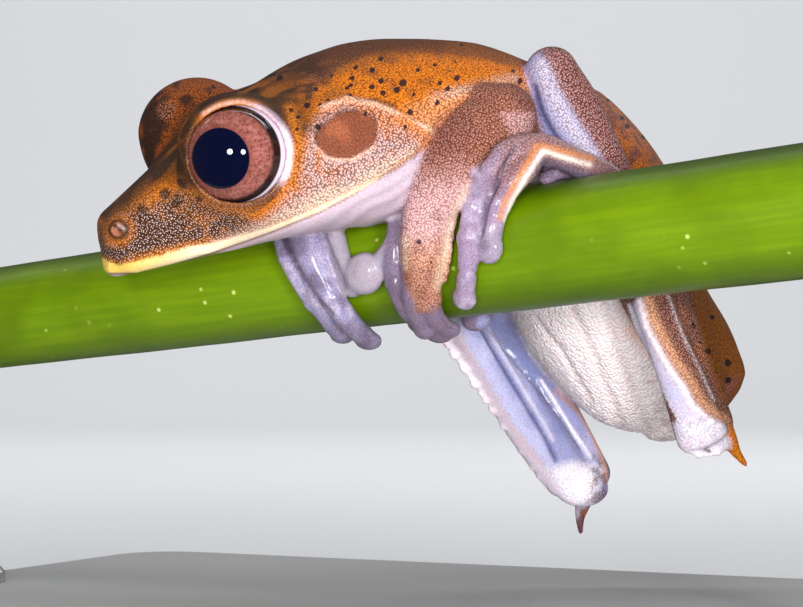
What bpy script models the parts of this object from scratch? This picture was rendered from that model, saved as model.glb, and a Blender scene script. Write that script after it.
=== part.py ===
"""Map tree frog gripping a green stem, life size, on a plain display stand.

The frog is modelled in the viewer's frame, in millimetres: x to the viewer's right, y away from
the viewer, z up, with the origin on the stem's axis below the frog's hands. The last section
turns every node so that the stem runs along +X in plan, lifts it above the stand's base and
scales it to metres. Each node is one closed body, and neighbours keep a 0.3 mm gap.
"""
import math

import bmesh
import bpy
import numpy as np
from mathutils import Matrix, Vector

# Driving sizes, in millimetres and degrees
MM = 0.001
GAP = 0.3
STEM_TURN = 27.0
STEM_RISE = 0.126
STEM_RADIUS = 4.61
STEM_TAPER = 0.0116
STEM_HEIGHT = 3.05
STEM_LEFT = -45.5
STEM_RIGHT = 40.0
LIFT = 27.5
BASE_LENGTH = 88.0
BASE_WIDTH = 60.0
BASE_THICKNESS = 4.0
BASE_CORNER = 6.0
ROD_RADIUS = 1.5
ROD_PLACES = (-40.6, 35.4)
SNOUT = Vector((-22.97, -5.0, 4.85))
HEAD_YAW = 13.3
HEAD_PITCH = 20.1
HEAD_ROLL = 7.2
MOUTH_BELOW_SNOUT = 2.48
EYE_RADIUS = 4.05
CORNEA_EDGE = 0.55
CORNEA_BULGE = 0.35
EYE_PLACE = (10.7, 7.0, 6.1)
EYE_SIGHT = (-0.50, 0.81, 0.26)
LID_RADIUS = 4.8
OPENING_ANGLE = 53.0
OPENING_LEAN = 0.16
NOSTRIL_RADIUS = 0.5
MOUTH_GROOVE = (0.16, 0.45)
DRUM_PLACE = (18.9, 9.7, 4.9)
DRUM_SIZE = (2.45, 1.85)
DRUM_GROOVE = (0.3, 0.55)
WEB_THICKNESS = 0.35
FRINGE_BUMP = 0.45
TARSUS_BUMP = 0.55
DOME_TURNS = (36, 70)
PAW_VOXEL = 0.22
HAND_TRIANGLES = 1250
FOOT_TRIANGLES = 1350
TARSUS_TRIANGLES = 520

# Start from an empty scene
for leftover in list(bpy.data.objects):
    bpy.data.objects.remove(leftover, do_unlink=True)


# Frames: the stem's, the head's
stem_axis = Vector((1.0, -math.tan(math.radians(STEM_TURN)), STEM_RISE)).normalized()
stem_up = (Vector((0, 0, 1)) - stem_axis * stem_axis.z).normalized()
stem_front = stem_up.cross(stem_axis)
if stem_front.y > 0:
    stem_front = -stem_front
stem_middle = Vector((0, 0, STEM_HEIGHT))
head_turn = (Matrix.Rotation(math.radians(HEAD_YAW), 3, "Z")
             @ Matrix.Rotation(math.radians(-HEAD_PITCH), 3, "Y")
             @ Matrix.Rotation(math.radians(HEAD_ROLL), 3, "X"))


def on_stem(along, angle, height):
    """A point above the stem's skin, angle measured from its top towards the viewer."""
    centre = stem_middle + stem_axis * along
    reach = STEM_RADIUS + STEM_TAPER * centre.x + height
    turn = math.radians(angle)
    return centre + (stem_up * math.cos(turn) + stem_front * math.sin(turn)) * reach


def stem_out(angle):
    """The direction straight out of the stem at an angle from its top."""
    turn = math.radians(angle)
    return stem_up * math.cos(turn) + stem_front * math.sin(turn)


def in_head(back, side, up):
    """A point of the head: back from the snout, side away from the viewer, up from the mouth."""
    return SNOUT + head_turn @ Vector((back, side, up - MOUTH_BELOW_SNOUT))


# Modelling helpers
def flow(rows, steps):
    """Catmull-Rom rows between the given rows, each span cut into steps."""
    rows = np.array(rows, dtype=float)
    padded = np.vstack([2 * rows[0] - rows[1], rows, 2 * rows[-1] - rows[-2]])
    out = []
    for i in range(1, len(padded) - 2):
        a, b, c, d = padded[i - 1:i + 3]
        for k in range(steps):
            t = k / steps
            out.append(0.5 * (2 * b + (c - a) * t + (2 * a - 5 * b + 4 * c - d) * t * t
                              + (3 * b - a - 3 * c + d) * t ** 3))
    out.append(rows[-1])
    return out


def new_object(name, mesh_maker):
    """An object from a bmesh."""
    mesh = bpy.data.meshes.new(name)
    mesh_maker.normal_update()
    bmesh.ops.recalc_face_normals(mesh_maker, faces=mesh_maker.faces)
    mesh_maker.to_mesh(mesh)
    mesh_maker.free()
    thing = bpy.data.objects.new(name, mesh)
    bpy.context.scene.collection.objects.link(thing)
    return thing


def loft(name, stations, sides=16, steps=3, start_dome=0.0, end_dome=0.0):
    """A closed skin over stations: centre, axis, up, half width, top, under, two powers."""
    rows = [[*s[0], *s[1], *s[2], *s[3:]] for s in stations]
    rings = flow(rows, steps)
    if start_dome:
        rings = [dome_row(rings[0], -start_dome, k) for k in reversed(DOME_TURNS)] + rings
    if end_dome:
        rings = rings + [dome_row(rings[-1], end_dome, k) for k in DOME_TURNS]
    maker = bmesh.new()
    loops = []
    for row in rings:
        centre, axis, up = Vector(row[0:3]), Vector(row[3:6]).normalized(), Vector(row[6:9])
        up = (up - axis * up.dot(axis)).normalized()
        side = axis.cross(up)
        wide, top, under, top_power, under_power = row[9:14]
        circle = bmesh.ops.create_circle(maker, segments=sides, radius=1.0)["verts"]
        for vert in circle:
            c, s = vert.co.x, vert.co.y
            power = top_power if s > 0 else under_power
            across = math.copysign(abs(c) ** (2 / power), c) * wide
            rise = math.copysign(abs(s) ** (2 / power), s) * (top if s > 0 else under)
            vert.co = centre + side * across + up * rise
        loops.append({e for v in circle for e in v.link_edges})
    for before, after in zip(loops, loops[1:]):
        bmesh.ops.bridge_loops(maker, edges=list(before | after))
    for end in (loops[0], loops[-1]):
        cap = bmesh.ops.holes_fill(maker, edges=list(end), sides=0)["faces"]
        bmesh.ops.poke(maker, faces=cap)
    return new_object(name, maker)


def dome_row(row, reach, degrees):
    """A ring of a round end, shrunk and moved along the row's axis."""
    row = np.array(row)
    turn = math.radians(degrees)
    row[0:3] = row[0:3] + row[3:6] / np.linalg.norm(row[3:6]) * reach * math.sin(turn)
    row[9:12] = row[9:12] * math.cos(turn)
    return row


def limb(name, points, sizes, broad, sides=14, steps=2, power=2.0, domes=(1.0, 1.0)):
    """A limb through points: sizes are half width along the broad direction and half depth."""
    points = [Vector(p) for p in points]
    stations = []
    for i, point in enumerate(points):
        axis = points[min(i + 1, len(points) - 1)] - points[max(i - 1, 0)]
        axis.normalize()
        wide_way = Vector(broad[i] if isinstance(broad, list) else broad)
        up = wide_way.cross(axis).normalized()
        wide, deep = sizes[i]
        stations.append((point, axis, up, wide, deep, deep, power, power))
    start = sizes[0][1] * domes[0]
    end = sizes[-1][1] * domes[1]
    return loft(name, stations, sides, steps, start, end)


def ball(name, centre, size, turn=Matrix.Identity(3), level=2):
    """An icosphere squashed along its own axes, then turned."""
    maker = bmesh.new()
    bmesh.ops.create_icosphere(maker, subdivisions=level, radius=1.0)
    for vert in maker.verts:
        vert.co = Vector(centre) + turn @ Vector(a * b for a, b in zip(vert.co, size))
    return new_object(name, maker)


def swell(thing, centre, reach, push):
    """Push the skin near a point along a vector, fading smoothly to nothing at the reach."""
    for vert in thing.data.vertices:
        near = 1.0 - min(1.0, (vert.co - centre).length / reach) ** 2
        vert.co += push * near * near


def turn_to(out, along):
    """A rotation that carries z to out and x near to along."""
    out = Vector(out).normalized()
    along = Vector(along)
    along = (along - out * along.dot(out)).normalized()
    return Matrix((along, out.cross(along), out)).transposed()


def keep_largest(thing):
    """Drop all but the largest closed surface."""
    maker = bmesh.new()
    maker.from_mesh(thing.data)
    bmesh.ops.triangulate(maker, faces=maker.faces)
    unseen = set(maker.verts)
    groups = []
    while unseen:
        stack = [unseen.pop()]
        group = set(stack)
        while stack:
            for edge in stack.pop().link_edges:
                for vert in edge.verts:
                    if vert in unseen:
                        unseen.discard(vert)
                        group.add(vert)
                        stack.append(vert)
        groups.append(group)
    largest = max(groups, key=lambda g: sum(f.calc_area() for f in {f for v in g for f in v.link_faces}))
    loose = [v for g in groups if g is not largest for v in g]
    bmesh.ops.delete(maker, geom=loose, context="VERTS")
    maker.to_mesh(thing.data)
    maker.free()
    return thing


def apply_modifiers(thing):
    """Replace the mesh by its evaluated one."""
    graph = bpy.context.evaluated_depsgraph_get()
    mesh = bpy.data.meshes.new_from_object(thing.evaluated_get(graph))
    thing.modifiers.clear()
    thing.data = mesh
    return thing


def is_closed(thing):
    """Whether every edge joins two faces."""
    maker = bmesh.new()
    maker.from_mesh(thing.data)
    closed = all(edge.is_manifold for edge in maker.edges)
    maker.free()
    return closed


def soften(thing, voxel, triangles):
    """One smooth skin over fused pieces, thinned to about so many triangles."""
    skin = thing.modifiers.new("skin", "REMESH")
    skin.mode = "VOXEL"
    skin.voxel_size = voxel
    apply_modifiers(thing)
    smooth = thing.modifiers.new("smooth", "SMOOTH")
    smooth.factor = 0.5
    smooth.iterations = 2
    apply_modifiers(keep_largest(thing))
    dense = thing.data.copy()
    for attempt in range(6):
        thinner = thing.modifiers.new("thinner", "DECIMATE")
        thinner.ratio = triangles * (1 + 0.07 * attempt) / (2 * len(dense.polygons))
        apply_modifiers(thing)
        if is_closed(thing):
            return thing
        thing.data = dense.copy()
    return thing


def fuse(first, others):
    """One closed body from many, by one Boolean union on a collection.

    The exact solver leaves open edges where so many round pieces cross, the manifold one doesn't.
    """
    group = bpy.data.collections.new("pieces")
    for piece in others:
        bpy.context.scene.collection.objects.unlink(piece)
        group.objects.link(piece)
    bpy.context.scene.collection.children.link(group)
    union = first.modifiers.new("union", "BOOLEAN")
    union.operation = "UNION"
    union.operand_type = "COLLECTION"
    union.collection = group
    union.solver = "MANIFOLD"
    apply_modifiers(first)
    for piece in others:
        bpy.data.objects.remove(piece, do_unlink=True)
    bpy.data.collections.remove(group)
    return keep_largest(first)


def cut(thing, cutter):
    """Subtract the cutter and remove it."""
    minus = thing.modifiers.new("cut", "BOOLEAN")
    minus.operation = "DIFFERENCE"
    minus.object = cutter
    minus.solver = "MANIFOLD"
    apply_modifiers(thing)
    bpy.data.objects.remove(cutter, do_unlink=True)
    return keep_largest(thing)


def swollen(thing):
    """A copy grown by the gap along its normals."""
    maker = bmesh.new()
    maker.from_mesh(thing.data)
    bmesh.ops.recalc_face_normals(maker, faces=maker.faces)
    maker.normal_update()
    moves = [vert.normal * GAP * 1.05 for vert in maker.verts]
    for vert, move in zip(maker.verts, moves):
        vert.co += move
    return new_object("swollen", maker)


def clear(thing, *neighbours):
    """Cut the thing back from its neighbours by the gap."""
    for neighbour in neighbours:
        cut(thing, swollen(neighbour))
    return thing


def half_space(point, way):
    """A large block on one side of a plane."""
    maker = bmesh.new()
    bmesh.ops.create_cube(maker, size=80.0)
    turn = turn_to(way, (0.31, 0.27, 0.91))
    for vert in maker.verts:
        vert.co = Vector(point) + turn @ (vert.co + Vector((0, 0, 40.0)))
    return new_object("half_space", maker)


def part_pair(first, second, point, way):
    """Part two pieces that meet by a thin cut: the first stays on the way's side."""
    way = Vector(way).normalized()
    cut(first, half_space(Vector(point) + way * GAP / 2, -way))
    cut(second, half_space(Vector(point) - way * GAP / 2, way))


# Stem: the length of perch that the frog holds
def stem_tube(name, extra):
    stations = []
    for along in (STEM_LEFT, STEM_RIGHT):
        centre = stem_middle + stem_axis * along
        radius = STEM_RADIUS + STEM_TAPER * centre.x + extra
        stations.append((centre, stem_axis, stem_up, radius, radius, radius, 2, 2))
    return loft(name, stations, sides=28, steps=3)


stem = stem_tube("stem", 0.0)


# Head: half width, height above and depth below the mouth, at distances back from the snout
HEAD_SHAPE = (
    # back, half width, top, under, middle height, top power, under power
    (0.00, 1.60, 3.75, -0.35, 1.9, 2.4, 2.2),
    (0.45, 2.60, 4.25, -0.85, 1.3, 2.4, 2.2),
    (1.60, 3.70, 4.70, -1.10, 0.7, 2.3, 2.2),
    (4.60, 5.50, 5.95, -1.35, 0.4, 2.25, 2.2),
    (7.80, 7.10, 7.35, -1.50, 0.4, 2.2, 2.2),
    (11.0, 8.45, 8.60, -1.65, 0.5, 2.2, 2.3),
    (14.5, 9.60, 9.45, -2.00, 0.8, 2.2, 2.4),
    (18.5, 10.3, 9.95, -3.00, 1.4, 2.2, 2.3),
    (21.5, 10.4, 10.0, -3.75, 2.0, 2.1, 2.2),
    (23.8, 10.2, 9.90, -4.20, 2.5, 2.05, 2.1),
)
head_back = head_turn @ Vector((1, 0, 0))
head_side = head_turn @ Vector((0, 1, 0))
head_up = head_turn @ Vector((0, 0, 1))


def head_station(row):
    back, wide, top, under, middle, top_power, under_power = row
    return (in_head(back, 0, middle), head_back, head_up, wide, top - middle, middle - under,
            top_power, under_power)


head = loft("head", [head_station(row) for row in HEAD_SHAPE], sides=36, steps=3)


def eye_centre(side):
    return in_head(EYE_PLACE[0], side * EYE_PLACE[1], EYE_PLACE[2])


def eye_sight(side):
    return (head_turn @ Vector((EYE_SIGHT[0], side * EYE_SIGHT[1], EYE_SIGHT[2]))).normalized()


def shape_face(side):
    """The swelling round the eye, the edge of the snout, the hollow cheek in front of the eye."""
    outward = (head_side * side * 0.72 + head_up * 0.69)
    swell(head, eye_centre(side), 7.4, outward * 2.3)
    swell(head, in_head(15.2, side * 6.6, 6.8), 4.6, outward * 0.7)
    swell(head, in_head(4.2, side * 4.3, 4.6), 3.0, outward * 0.35)
    swell(head, in_head(5.6, side * 6.2, 2.9), 3.2, head_side * side * -0.55)
    swell(head, in_head(1.4, side * 2.4, 3.3), 1.8, outward * 0.4)
    swell(head, in_head(18.5, side * 9.3, 7.6), 3.4, outward * 0.45)


for side in (-1, 1):
    shape_face(side)


def make_lid(side):
    """The lids round the eye, before they are opened."""
    return ball("lid", eye_centre(side), (LID_RADIUS,) * 3, level=3)


def eye_opening(side):
    """A cone from the eye's centre out through the lids, wider to the rear."""
    axis = (eye_sight(side) + head_back * OPENING_LEAN).normalized()
    stations = []
    for reach in (0.6, 3.2, 6.5):
        spread = reach * math.tan(math.radians(OPENING_ANGLE))
        stations.append((eye_centre(side) + axis * reach, axis, head_up, spread * 1.04, spread, spread * 0.97,
                         2, 2))
    return loft("opening", stations, sides=28, steps=1)


fuse(head, [make_lid(-1), make_lid(1)])
for side in (-1, 1):
    cut(head, eye_opening(side))
    cut(head, ball("socket", eye_centre(side), (EYE_RADIUS + GAP,) * 3, level=3))
    cut(head, ball("nostril", in_head(1.15, side * 3.0, 3.45), (NOSTRIL_RADIUS,) * 3))


def mouth_line():
    """A thin groove round the mouth from one jaw angle to the other."""
    path = []
    for row in HEAD_SHAPE[-2:1:-1]:
        path.append((row[0], -row[1], 0.0))
    path.append((0.55, -2.05, -0.05))
    path.append((-0.02, 0.0, -0.1))
    path += [(back, -side, up) for back, side, up in path[-2::-1]]
    points = [in_head(back, side * 1.004, up - 0.15) for back, side, up in path]
    return limb("mouth", points, [MOUTH_GROOVE] * len(points), head_up, sides=5, steps=2)


cut(head, mouth_line())


def tympanum_groove(side):
    """A shallow ring round the ear drum."""
    centre = in_head(DRUM_PLACE[0], side * DRUM_PLACE[1], DRUM_PLACE[2])
    out = (head_side * side + head_up * 0.22 + head_back * 0.1).normalized()
    turn = turn_to(out, head_back)
    maker = bmesh.new()
    rings = []
    for k in range(16):
        angle = 2 * math.pi * k / 16
        arm = turn @ Vector((DRUM_SIZE[0] * math.cos(angle), DRUM_SIZE[1] * math.sin(angle), 0.0))
        circle = bmesh.ops.create_circle(maker, segments=5, radius=1.0)["verts"]
        for vert in circle:
            across = arm.normalized() * vert.co.x * DRUM_GROOVE[0]
            vert.co = centre + arm + across + out * vert.co.y * DRUM_GROOVE[1]
        rings.append({e for v in circle for e in v.link_edges})
    for before, after in zip(rings, rings[1:] + rings[:1]):
        bmesh.ops.bridge_loops(maker, edges=list(before | after))
    return new_object("groove", maker)


for side in (-1, 1):
    cut(head, tympanum_groove(side))


# Eyes: a globe with a clear bulge in front
def make_eye(name, side):
    globe = ball(name, eye_centre(side), (EYE_RADIUS,) * 3, level=3)
    look = eye_sight(side)
    for vert in globe.data.vertices:
        way = (vert.co - eye_centre(side)).normalized()
        front = max(0.0, way.dot(look) - CORNEA_EDGE) / (1.0 - CORNEA_EDGE)
        vert.co = vert.co + look * CORNEA_BULGE * front * (2 - front)
    return globe


eye_left = make_eye("eye_left", -1)
eye_right = make_eye("eye_right", 1)

# Torso: centre, up, half width, top and under at stations from the neck to the vent
neck_row = HEAD_SHAPE[-1]
neck_centre = in_head(neck_row[0], 0, neck_row[4])
TORSO_SHAPE = (
    # centre, up, half width, top, under
    ((1.6, 1.9, 13.9), (-0.16, -0.16, 0.97), 10.0, 7.0, 6.6),
    ((5.6, 4.3, 13.9), (-0.02, -0.12, 0.99), 9.7, 6.8, 6.6),
    ((10.4, 7.8, 12.0), (0.26, -0.02, 0.96), 9.9, 7.2, 7.4),
    ((15.0, 11.9, 7.0), (0.60, 0.12, 0.79), 9.9, 7.4, 8.6),
    ((18.8, 14.8, 0.4), (0.76, 0.30, 0.57), 8.4, 6.8, 9.2),
    ((22.3, 16.2, -5.0), (0.80, 0.36, 0.48), 6.0, 6.5, 8.0),
    ((24.3, 16.7, -8.0), (0.84, 0.38, 0.38), 3.7, 4.9, 5.2),
)
TORSO_SPLIT = 3


def torso_stations():
    stations = [(neck_centre, head_back, head_up, neck_row[1], neck_row[2] - neck_row[4],
                 neck_row[4] - neck_row[3], 2.05, 2.1)]
    centres = [neck_centre] + [Vector(row[0]) for row in TORSO_SHAPE]
    for i, row in enumerate(TORSO_SHAPE):
        before = centres[i]
        after = centres[min(i + 2, len(centres) - 1)]
        axis = (after - before).normalized()
        stations.append((Vector(row[0]), axis, Vector(row[1]), row[2], row[3], row[4], 2.05, 2.05))
    return stations


torso_all = torso_stations()
neck_start = (neck_centre + head_back * GAP, *torso_all[0][1:])
chest = loft("torso_front", [neck_start] + torso_all[1:TORSO_SPLIT + 2], sides=28, steps=2)
abdomen = loft("torso_rear", torso_all[TORSO_SPLIT - 1:], sides=28, steps=2, end_dome=2.4)
part_pair(chest, abdomen, torso_all[TORSO_SPLIT][0], -torso_all[TORSO_SPLIT][1])

# Arms: joints in the viewer's frame
SHOULDER_LEFT = Vector((3.2, -3.2, 14.0))
ELBOW_LEFT = Vector((8.7, -5.2, 14.2))
WRIST_LEFT = on_stem(5.2, 60.0, 1.5)
SHOULDER_RIGHT = Vector((1.5, 11.5, 13.4))
ELBOW_RIGHT = Vector((-6.4, 14.2, 9.6))
WRIST_RIGHT = on_stem(-5.6, 38.0, 1.4)


def between(a, b, share):
    return a + (b - a) * share


def make_arm(label, shoulder, elbow, wrist, sizes, across):
    upper = limb("upper_arm_" + label, [shoulder, between(shoulder, elbow, 0.55), elbow],
                 [(2.7, 2.7), (3.0, 2.8), (2.8, 2.7)], across)
    middle = between(elbow, wrist, 0.5) + stem_out(40) * 0.4
    fore = limb("forearm_" + label, [elbow, between(elbow, middle, 0.6), between(middle, wrist, 0.25), wrist],
                sizes, across, domes=(0.9, 0.6))
    apart = (shoulder - elbow).normalized() - (wrist - elbow).normalized()
    part_pair(upper, fore, elbow, apart)
    return upper, fore


upper_arm_left, forearm_left = make_arm(
    "left", SHOULDER_LEFT, ELBOW_LEFT, WRIST_LEFT,
    [(2.8, 2.7), (3.1, 2.8), (2.9, 2.3), (2.0, 1.4)], (0.72, 0.0, -0.7))
upper_arm_right, forearm_right = make_arm(
    "right", SHOULDER_RIGHT, ELBOW_RIGHT, WRIST_RIGHT,
    [(2.4, 2.4), (2.4, 2.2), (1.9, 1.5), (1.7, 1.2)], (0.9, 0.1, 0.1))


# Digits lie on the stem: joints as place along it, angle round it and height above it,
# or as points where they are clear of it
def joint(place):
    return on_stem(*place) if isinstance(place, tuple) else place


def digit(path, radius, disc):
    """A finger or toe through joints on the stem, with a round pad pressed to it at the end."""
    points = [joint(p) for p in path]
    sizes = [(radius * share, radius * share) for share in np.linspace(1.08, 0.86, len(points))]
    out = [stem_out(p[1]) if isinstance(p, tuple) else Vector((0, 0, 1)) for p in path]
    across = []
    for i, point in enumerate(points):
        axis = points[min(i + 1, len(points) - 1)] - points[max(i - 1, 0)]
        across.append(out[i].cross(axis).normalized())
    finger = limb("digit", points, sizes, across, sides=7, steps=2, domes=(0.8, 0.8))
    axis = points[-1] - points[-2]
    pad = ball("pad", points[-1] + axis.normalized() * disc * 0.25, (disc, disc * 0.92, disc * 0.62),
               turn_to(out[-1], axis))
    return [finger, pad]


def web(first, second):
    """A thin skin between two digits' joints."""
    pairs = [(joint(a), joint(b)) for a, b in zip(first, second)]
    centres = [(a + b) / 2 for a, b in pairs]
    stations = []
    for i, (a, b) in enumerate(pairs):
        axis = (centres[min(i + 1, len(pairs) - 1)] - centres[max(i - 1, 0)]).normalized()
        up = (b - a).cross(axis).normalized()
        stations.append((centres[i], axis, up, (b - a).length / 2, WEB_THICKNESS, WEB_THICKNESS, 2.6, 2.6))
    return loft("web", stations, sides=8, steps=2)


def tubercles(path, radius, count):
    """A row of round granules along a path of points."""
    rows = flow([tuple(p) for p in path], 12)
    picks = np.linspace(0, len(rows) - 1, count)
    return [ball("tubercle", rows[int(round(k))], (radius,) * 3, level=1) for k in picks]


# Hands
HAND_LEFT = {
    "palm": ((5.2, 58, 1.5), (5.4, 80, 1.55), (5.6, 104, 1.45), (5.7, 122, 1.35)),
    "palm_sizes": [(2.0, 1.35), (2.35, 1.35), (2.1, 1.25), (1.5, 1.1)],
    "outer": ((5.9, 100, 1.3), (6.1, 124, 1.25), (6.4, 146, 1.2), (6.3, 166, 1.0)),
    "long": ((4.6, 84, 1.3), (3.9, 108, 1.3), (3.4, 130, 1.3), (3.6, 152, 1.15), (4.4, 168, 1.1)),
    "inner": ((3.2, 70, 1.1), (2.6, 94, 1.1), (2.4, 118, 1.1), (2.2, 140, 1.0), (2.3, 160, 0.9)),
    "thumb": ((3.0, 66, 1.2), (2.0, 80, 1.1), (0.9, 90, 1.0), (-0.1, 95, 0.95)),
    "fringe": ((7.3, 66, 1.2), (7.5, 84, 1.1), (7.2, 102, 1.0), (6.9, 116, 0.95)),
}
HAND_RIGHT = {
    "palm": ((-5.6, 36, 1.4), (-5.2, 58, 1.45), (-4.8, 80, 1.4), (-4.4, 98, 1.2)),
    "palm_sizes": [(1.7, 1.2), (2.0, 1.25), (1.9, 1.2), (1.5, 0.95)],
    "outer": ((-6.9, 54, 1.0), (-7.3, 76, 1.0), (-7.1, 98, 1.0), (-6.5, 120, 1.0), (-5.9, 142, 0.9)),
    "long": ((-4.4, 88, 1.2), (-4.0, 112, 1.2), (-3.5, 136, 1.25), (-2.9, 164, 1.3)),
    "inner": ((-4.6, 86, 1.0), (-5.3, 112, 1.0), (-5.3, 134, 1.0), (-5.0, 156, 1.0)),
    "thumb": ((-3.9, 48, 1.0), (-2.9, 64, 1.0), (-2.5, 82, 1.0), (-2.3, 100, 0.95)),
    "fringe": ((-7.8, 56, 0.9), (-8.1, 76, 0.9), (-7.9, 96, 0.9), (-7.3, 116, 0.9)),
}


def make_hand(name, plan, discs):
    """A hand laid round the stem: palm, three fingers and the thumb."""
    palm = [on_stem(*p) for p in plan["palm"]]
    hand = limb(name, palm, plan["palm_sizes"], stem_axis, domes=(0.7, 0.8))
    pieces = []
    pieces += digit(plan["outer"], 0.95, discs[0])
    pieces += digit(plan["long"], 1.0, discs[1])
    pieces += digit(plan["inner"], 0.85, discs[2])
    pieces += digit(plan["thumb"], 0.78, discs[3])
    pieces += tubercles([on_stem(*p) for p in plan["fringe"]], FRINGE_BUMP, 8)
    return soften(fuse(hand, pieces), PAW_VOXEL, HAND_TRIANGLES)


hand_left = make_hand("hand_left", HAND_LEFT, (1.2, 1.3, 1.15, 1.35))
hand_right = make_hand("hand_right", HAND_RIGHT, (1.0, 1.15, 1.1, 1.2))

# Legs: joints in the viewer's frame
HIP_LEFT = Vector((23.9, 13.6, -6.2))
KNEE_LEFT = Vector((11.7, 0.3, 18.1))
HEEL_LEFT = Vector((25.2, 4.3, -9.6))
ANKLE_LEFT = Vector((17.6, -0.9, 5.6))
HIP_RIGHT = Vector((21.8, 19.3, -6.2))
KNEE_RIGHT = Vector((-1.8, 18.6, 12.2))
HEEL_RIGHT = Vector((15.5, 16.4, -14.6))
ANKLE_RIGHT = Vector((4.3, 6.6, -1.0))
LEG_BROAD_LEFT = Vector((0.9, 0.0, 0.43))
LEG_BROAD_RIGHT = Vector((0.86, 0.25, 0.45))


def make_leg(label, hip, knee, heel, ankle, broad, heel_shift):
    """Thigh, shank and folded tarsus, the tarsus beside the shank."""
    thigh = limb("thigh_" + label, [hip, between(hip, knee, 0.35), between(hip, knee, 0.7), knee],
                 [(3.0, 2.8), (3.7, 3.0), (3.2, 2.6), (2.4, 2.2)], broad)
    shank = limb("shank_" + label, [knee, between(knee, heel, 0.25), between(knee, heel, 0.65), heel],
                 [(2.4, 2.1), (3.0, 2.3), (2.5, 1.9), (1.9, 1.6)], broad)
    tarsus_heel = heel + heel_shift + (heel - ankle).normalized() * 1.3
    tarsus = limb("tarsus_" + label, [tarsus_heel, between(tarsus_heel, ankle, 0.35),
                                      between(tarsus_heel, ankle, 0.75), ankle],
                  [(1.6, 1.4), (1.75, 1.35), (1.6, 1.3), (1.5, 1.3)], broad)
    edge_way = -broad.normalized() * 1.4 + heel_shift.normalized() * 0.4
    edge = [between(tarsus_heel, ankle, t) + edge_way for t in (0.02, 0.5, 0.97)]
    fuse(tarsus, tubercles(edge, TARSUS_BUMP, 20))
    soften(tarsus, PAW_VOXEL, TARSUS_TRIANGLES)
    apart = (hip - knee).normalized() - (heel - knee).normalized()
    part_pair(thigh, shank, knee, apart)
    fold_low = heel + heel_shift * 0.5
    shank_mate = between(heel, knee, (ankle - heel).length / (knee - heel).length)
    fold_high = between(ankle, shank_mate, 0.5)
    fold_way = (fold_high - fold_low).normalized()
    spread = heel_shift + (ankle - shank_mate)
    part_pair(tarsus, shank, fold_low, spread - fold_way * spread.dot(fold_way))
    return thigh, shank, tarsus


thigh_left, shank_left, tarsus_left = make_leg(
    "left", HIP_LEFT, KNEE_LEFT, HEEL_LEFT, ANKLE_LEFT, LEG_BROAD_LEFT, Vector((-1.6, -2.0, 0.2)))
thigh_right, shank_right, tarsus_right = make_leg(
    "right", HIP_RIGHT, KNEE_RIGHT, HEEL_RIGHT, ANKLE_RIGHT, LEG_BROAD_RIGHT, Vector((-2.5, -1.9, 1.3)))


def calcar(base, tip, width):
    """The pointed flap of skin on the heel."""
    base, tip = Vector(base), Vector(tip)
    middle = between(base, tip, 0.5)
    return limb("calcar", [base, middle, between(base, tip, 0.9)],
                [(width, width * 0.8), (width * 0.6, width * 0.5), (0.3, 0.3)], (0, 1, 0), sides=8, steps=1)


fuse(shank_left, [calcar((26.1, 4.0, -10.4), (27.7, 3.4, -12.6), 1.1)])
fuse(shank_right, [calcar((15.2, 16.0, -15.8), (14.9, 15.4, -19.3), 1.2)])

# Feet: the left one bridges the stem and hangs down its front, the right one holds its back
FOOT_LEFT = {
    "sole": [(17.0, -1.9, 7.6), (15.9, -4.2, 10.3), (14.2, -6.9, 11.2), (12.4, -8.8, 11.7)],
    "sole_sizes": [(1.5, 1.2), (1.8, 1.1), (2.1, 1.0), (2.1, 1.0)],
    "outer": [Vector((13.7, -9.0, 11.2)), Vector((11.3, -10.9, 12.1)), (13.0, 47, 2.4), (11.9, 68, 1.6),
              (11.0, 84, 1.3)],
    "long": [Vector((12.2, -8.9, 12.3)), Vector((9.2, -10.4, 12.9)), (10.2, 46, 3.2), (9.4, 76, 1.7),
             (8.6, 104, 1.3), (7.6, 128, 1.2)],
    "middle": [Vector((11.6, -8.4, 12.0)), Vector((9.0, -9.7, 11.4)), Vector((6.9, -10.3, 10.0))],
    "inner": [Vector((13.2, -6.8, 11.1)), Vector((10.9, -6.9, 10.5)), Vector((9.2, -7.0, 9.9))],
    "first": [Vector((14.9, -5.0, 10.7)), Vector((13.2, -4.6, 10.3)), Vector((11.8, -4.3, 9.9))],
}


def make_foot_left():
    foot = limb("foot_left", FOOT_LEFT["sole"], FOOT_LEFT["sole_sizes"], (0.65, 0.1, 0.5))
    pieces = []
    pieces += digit(FOOT_LEFT["outer"], 1.05, 1.3)
    pieces += digit(FOOT_LEFT["long"], 1.1, 1.35)
    pieces += digit(FOOT_LEFT["middle"], 0.75, 0.95)
    pieces += digit(FOOT_LEFT["inner"], 0.65, 0.85)
    pieces += digit(FOOT_LEFT["first"], 0.6, 0.8)
    pieces.append(web(FOOT_LEFT["outer"][1:3] + [(12.1, 62, 1.7)], FOOT_LEFT["long"][1:3] + [(9.8, 62, 2.4)]))
    return soften(fuse(foot, pieces), PAW_VOXEL, FOOT_TRIANGLES)


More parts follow.
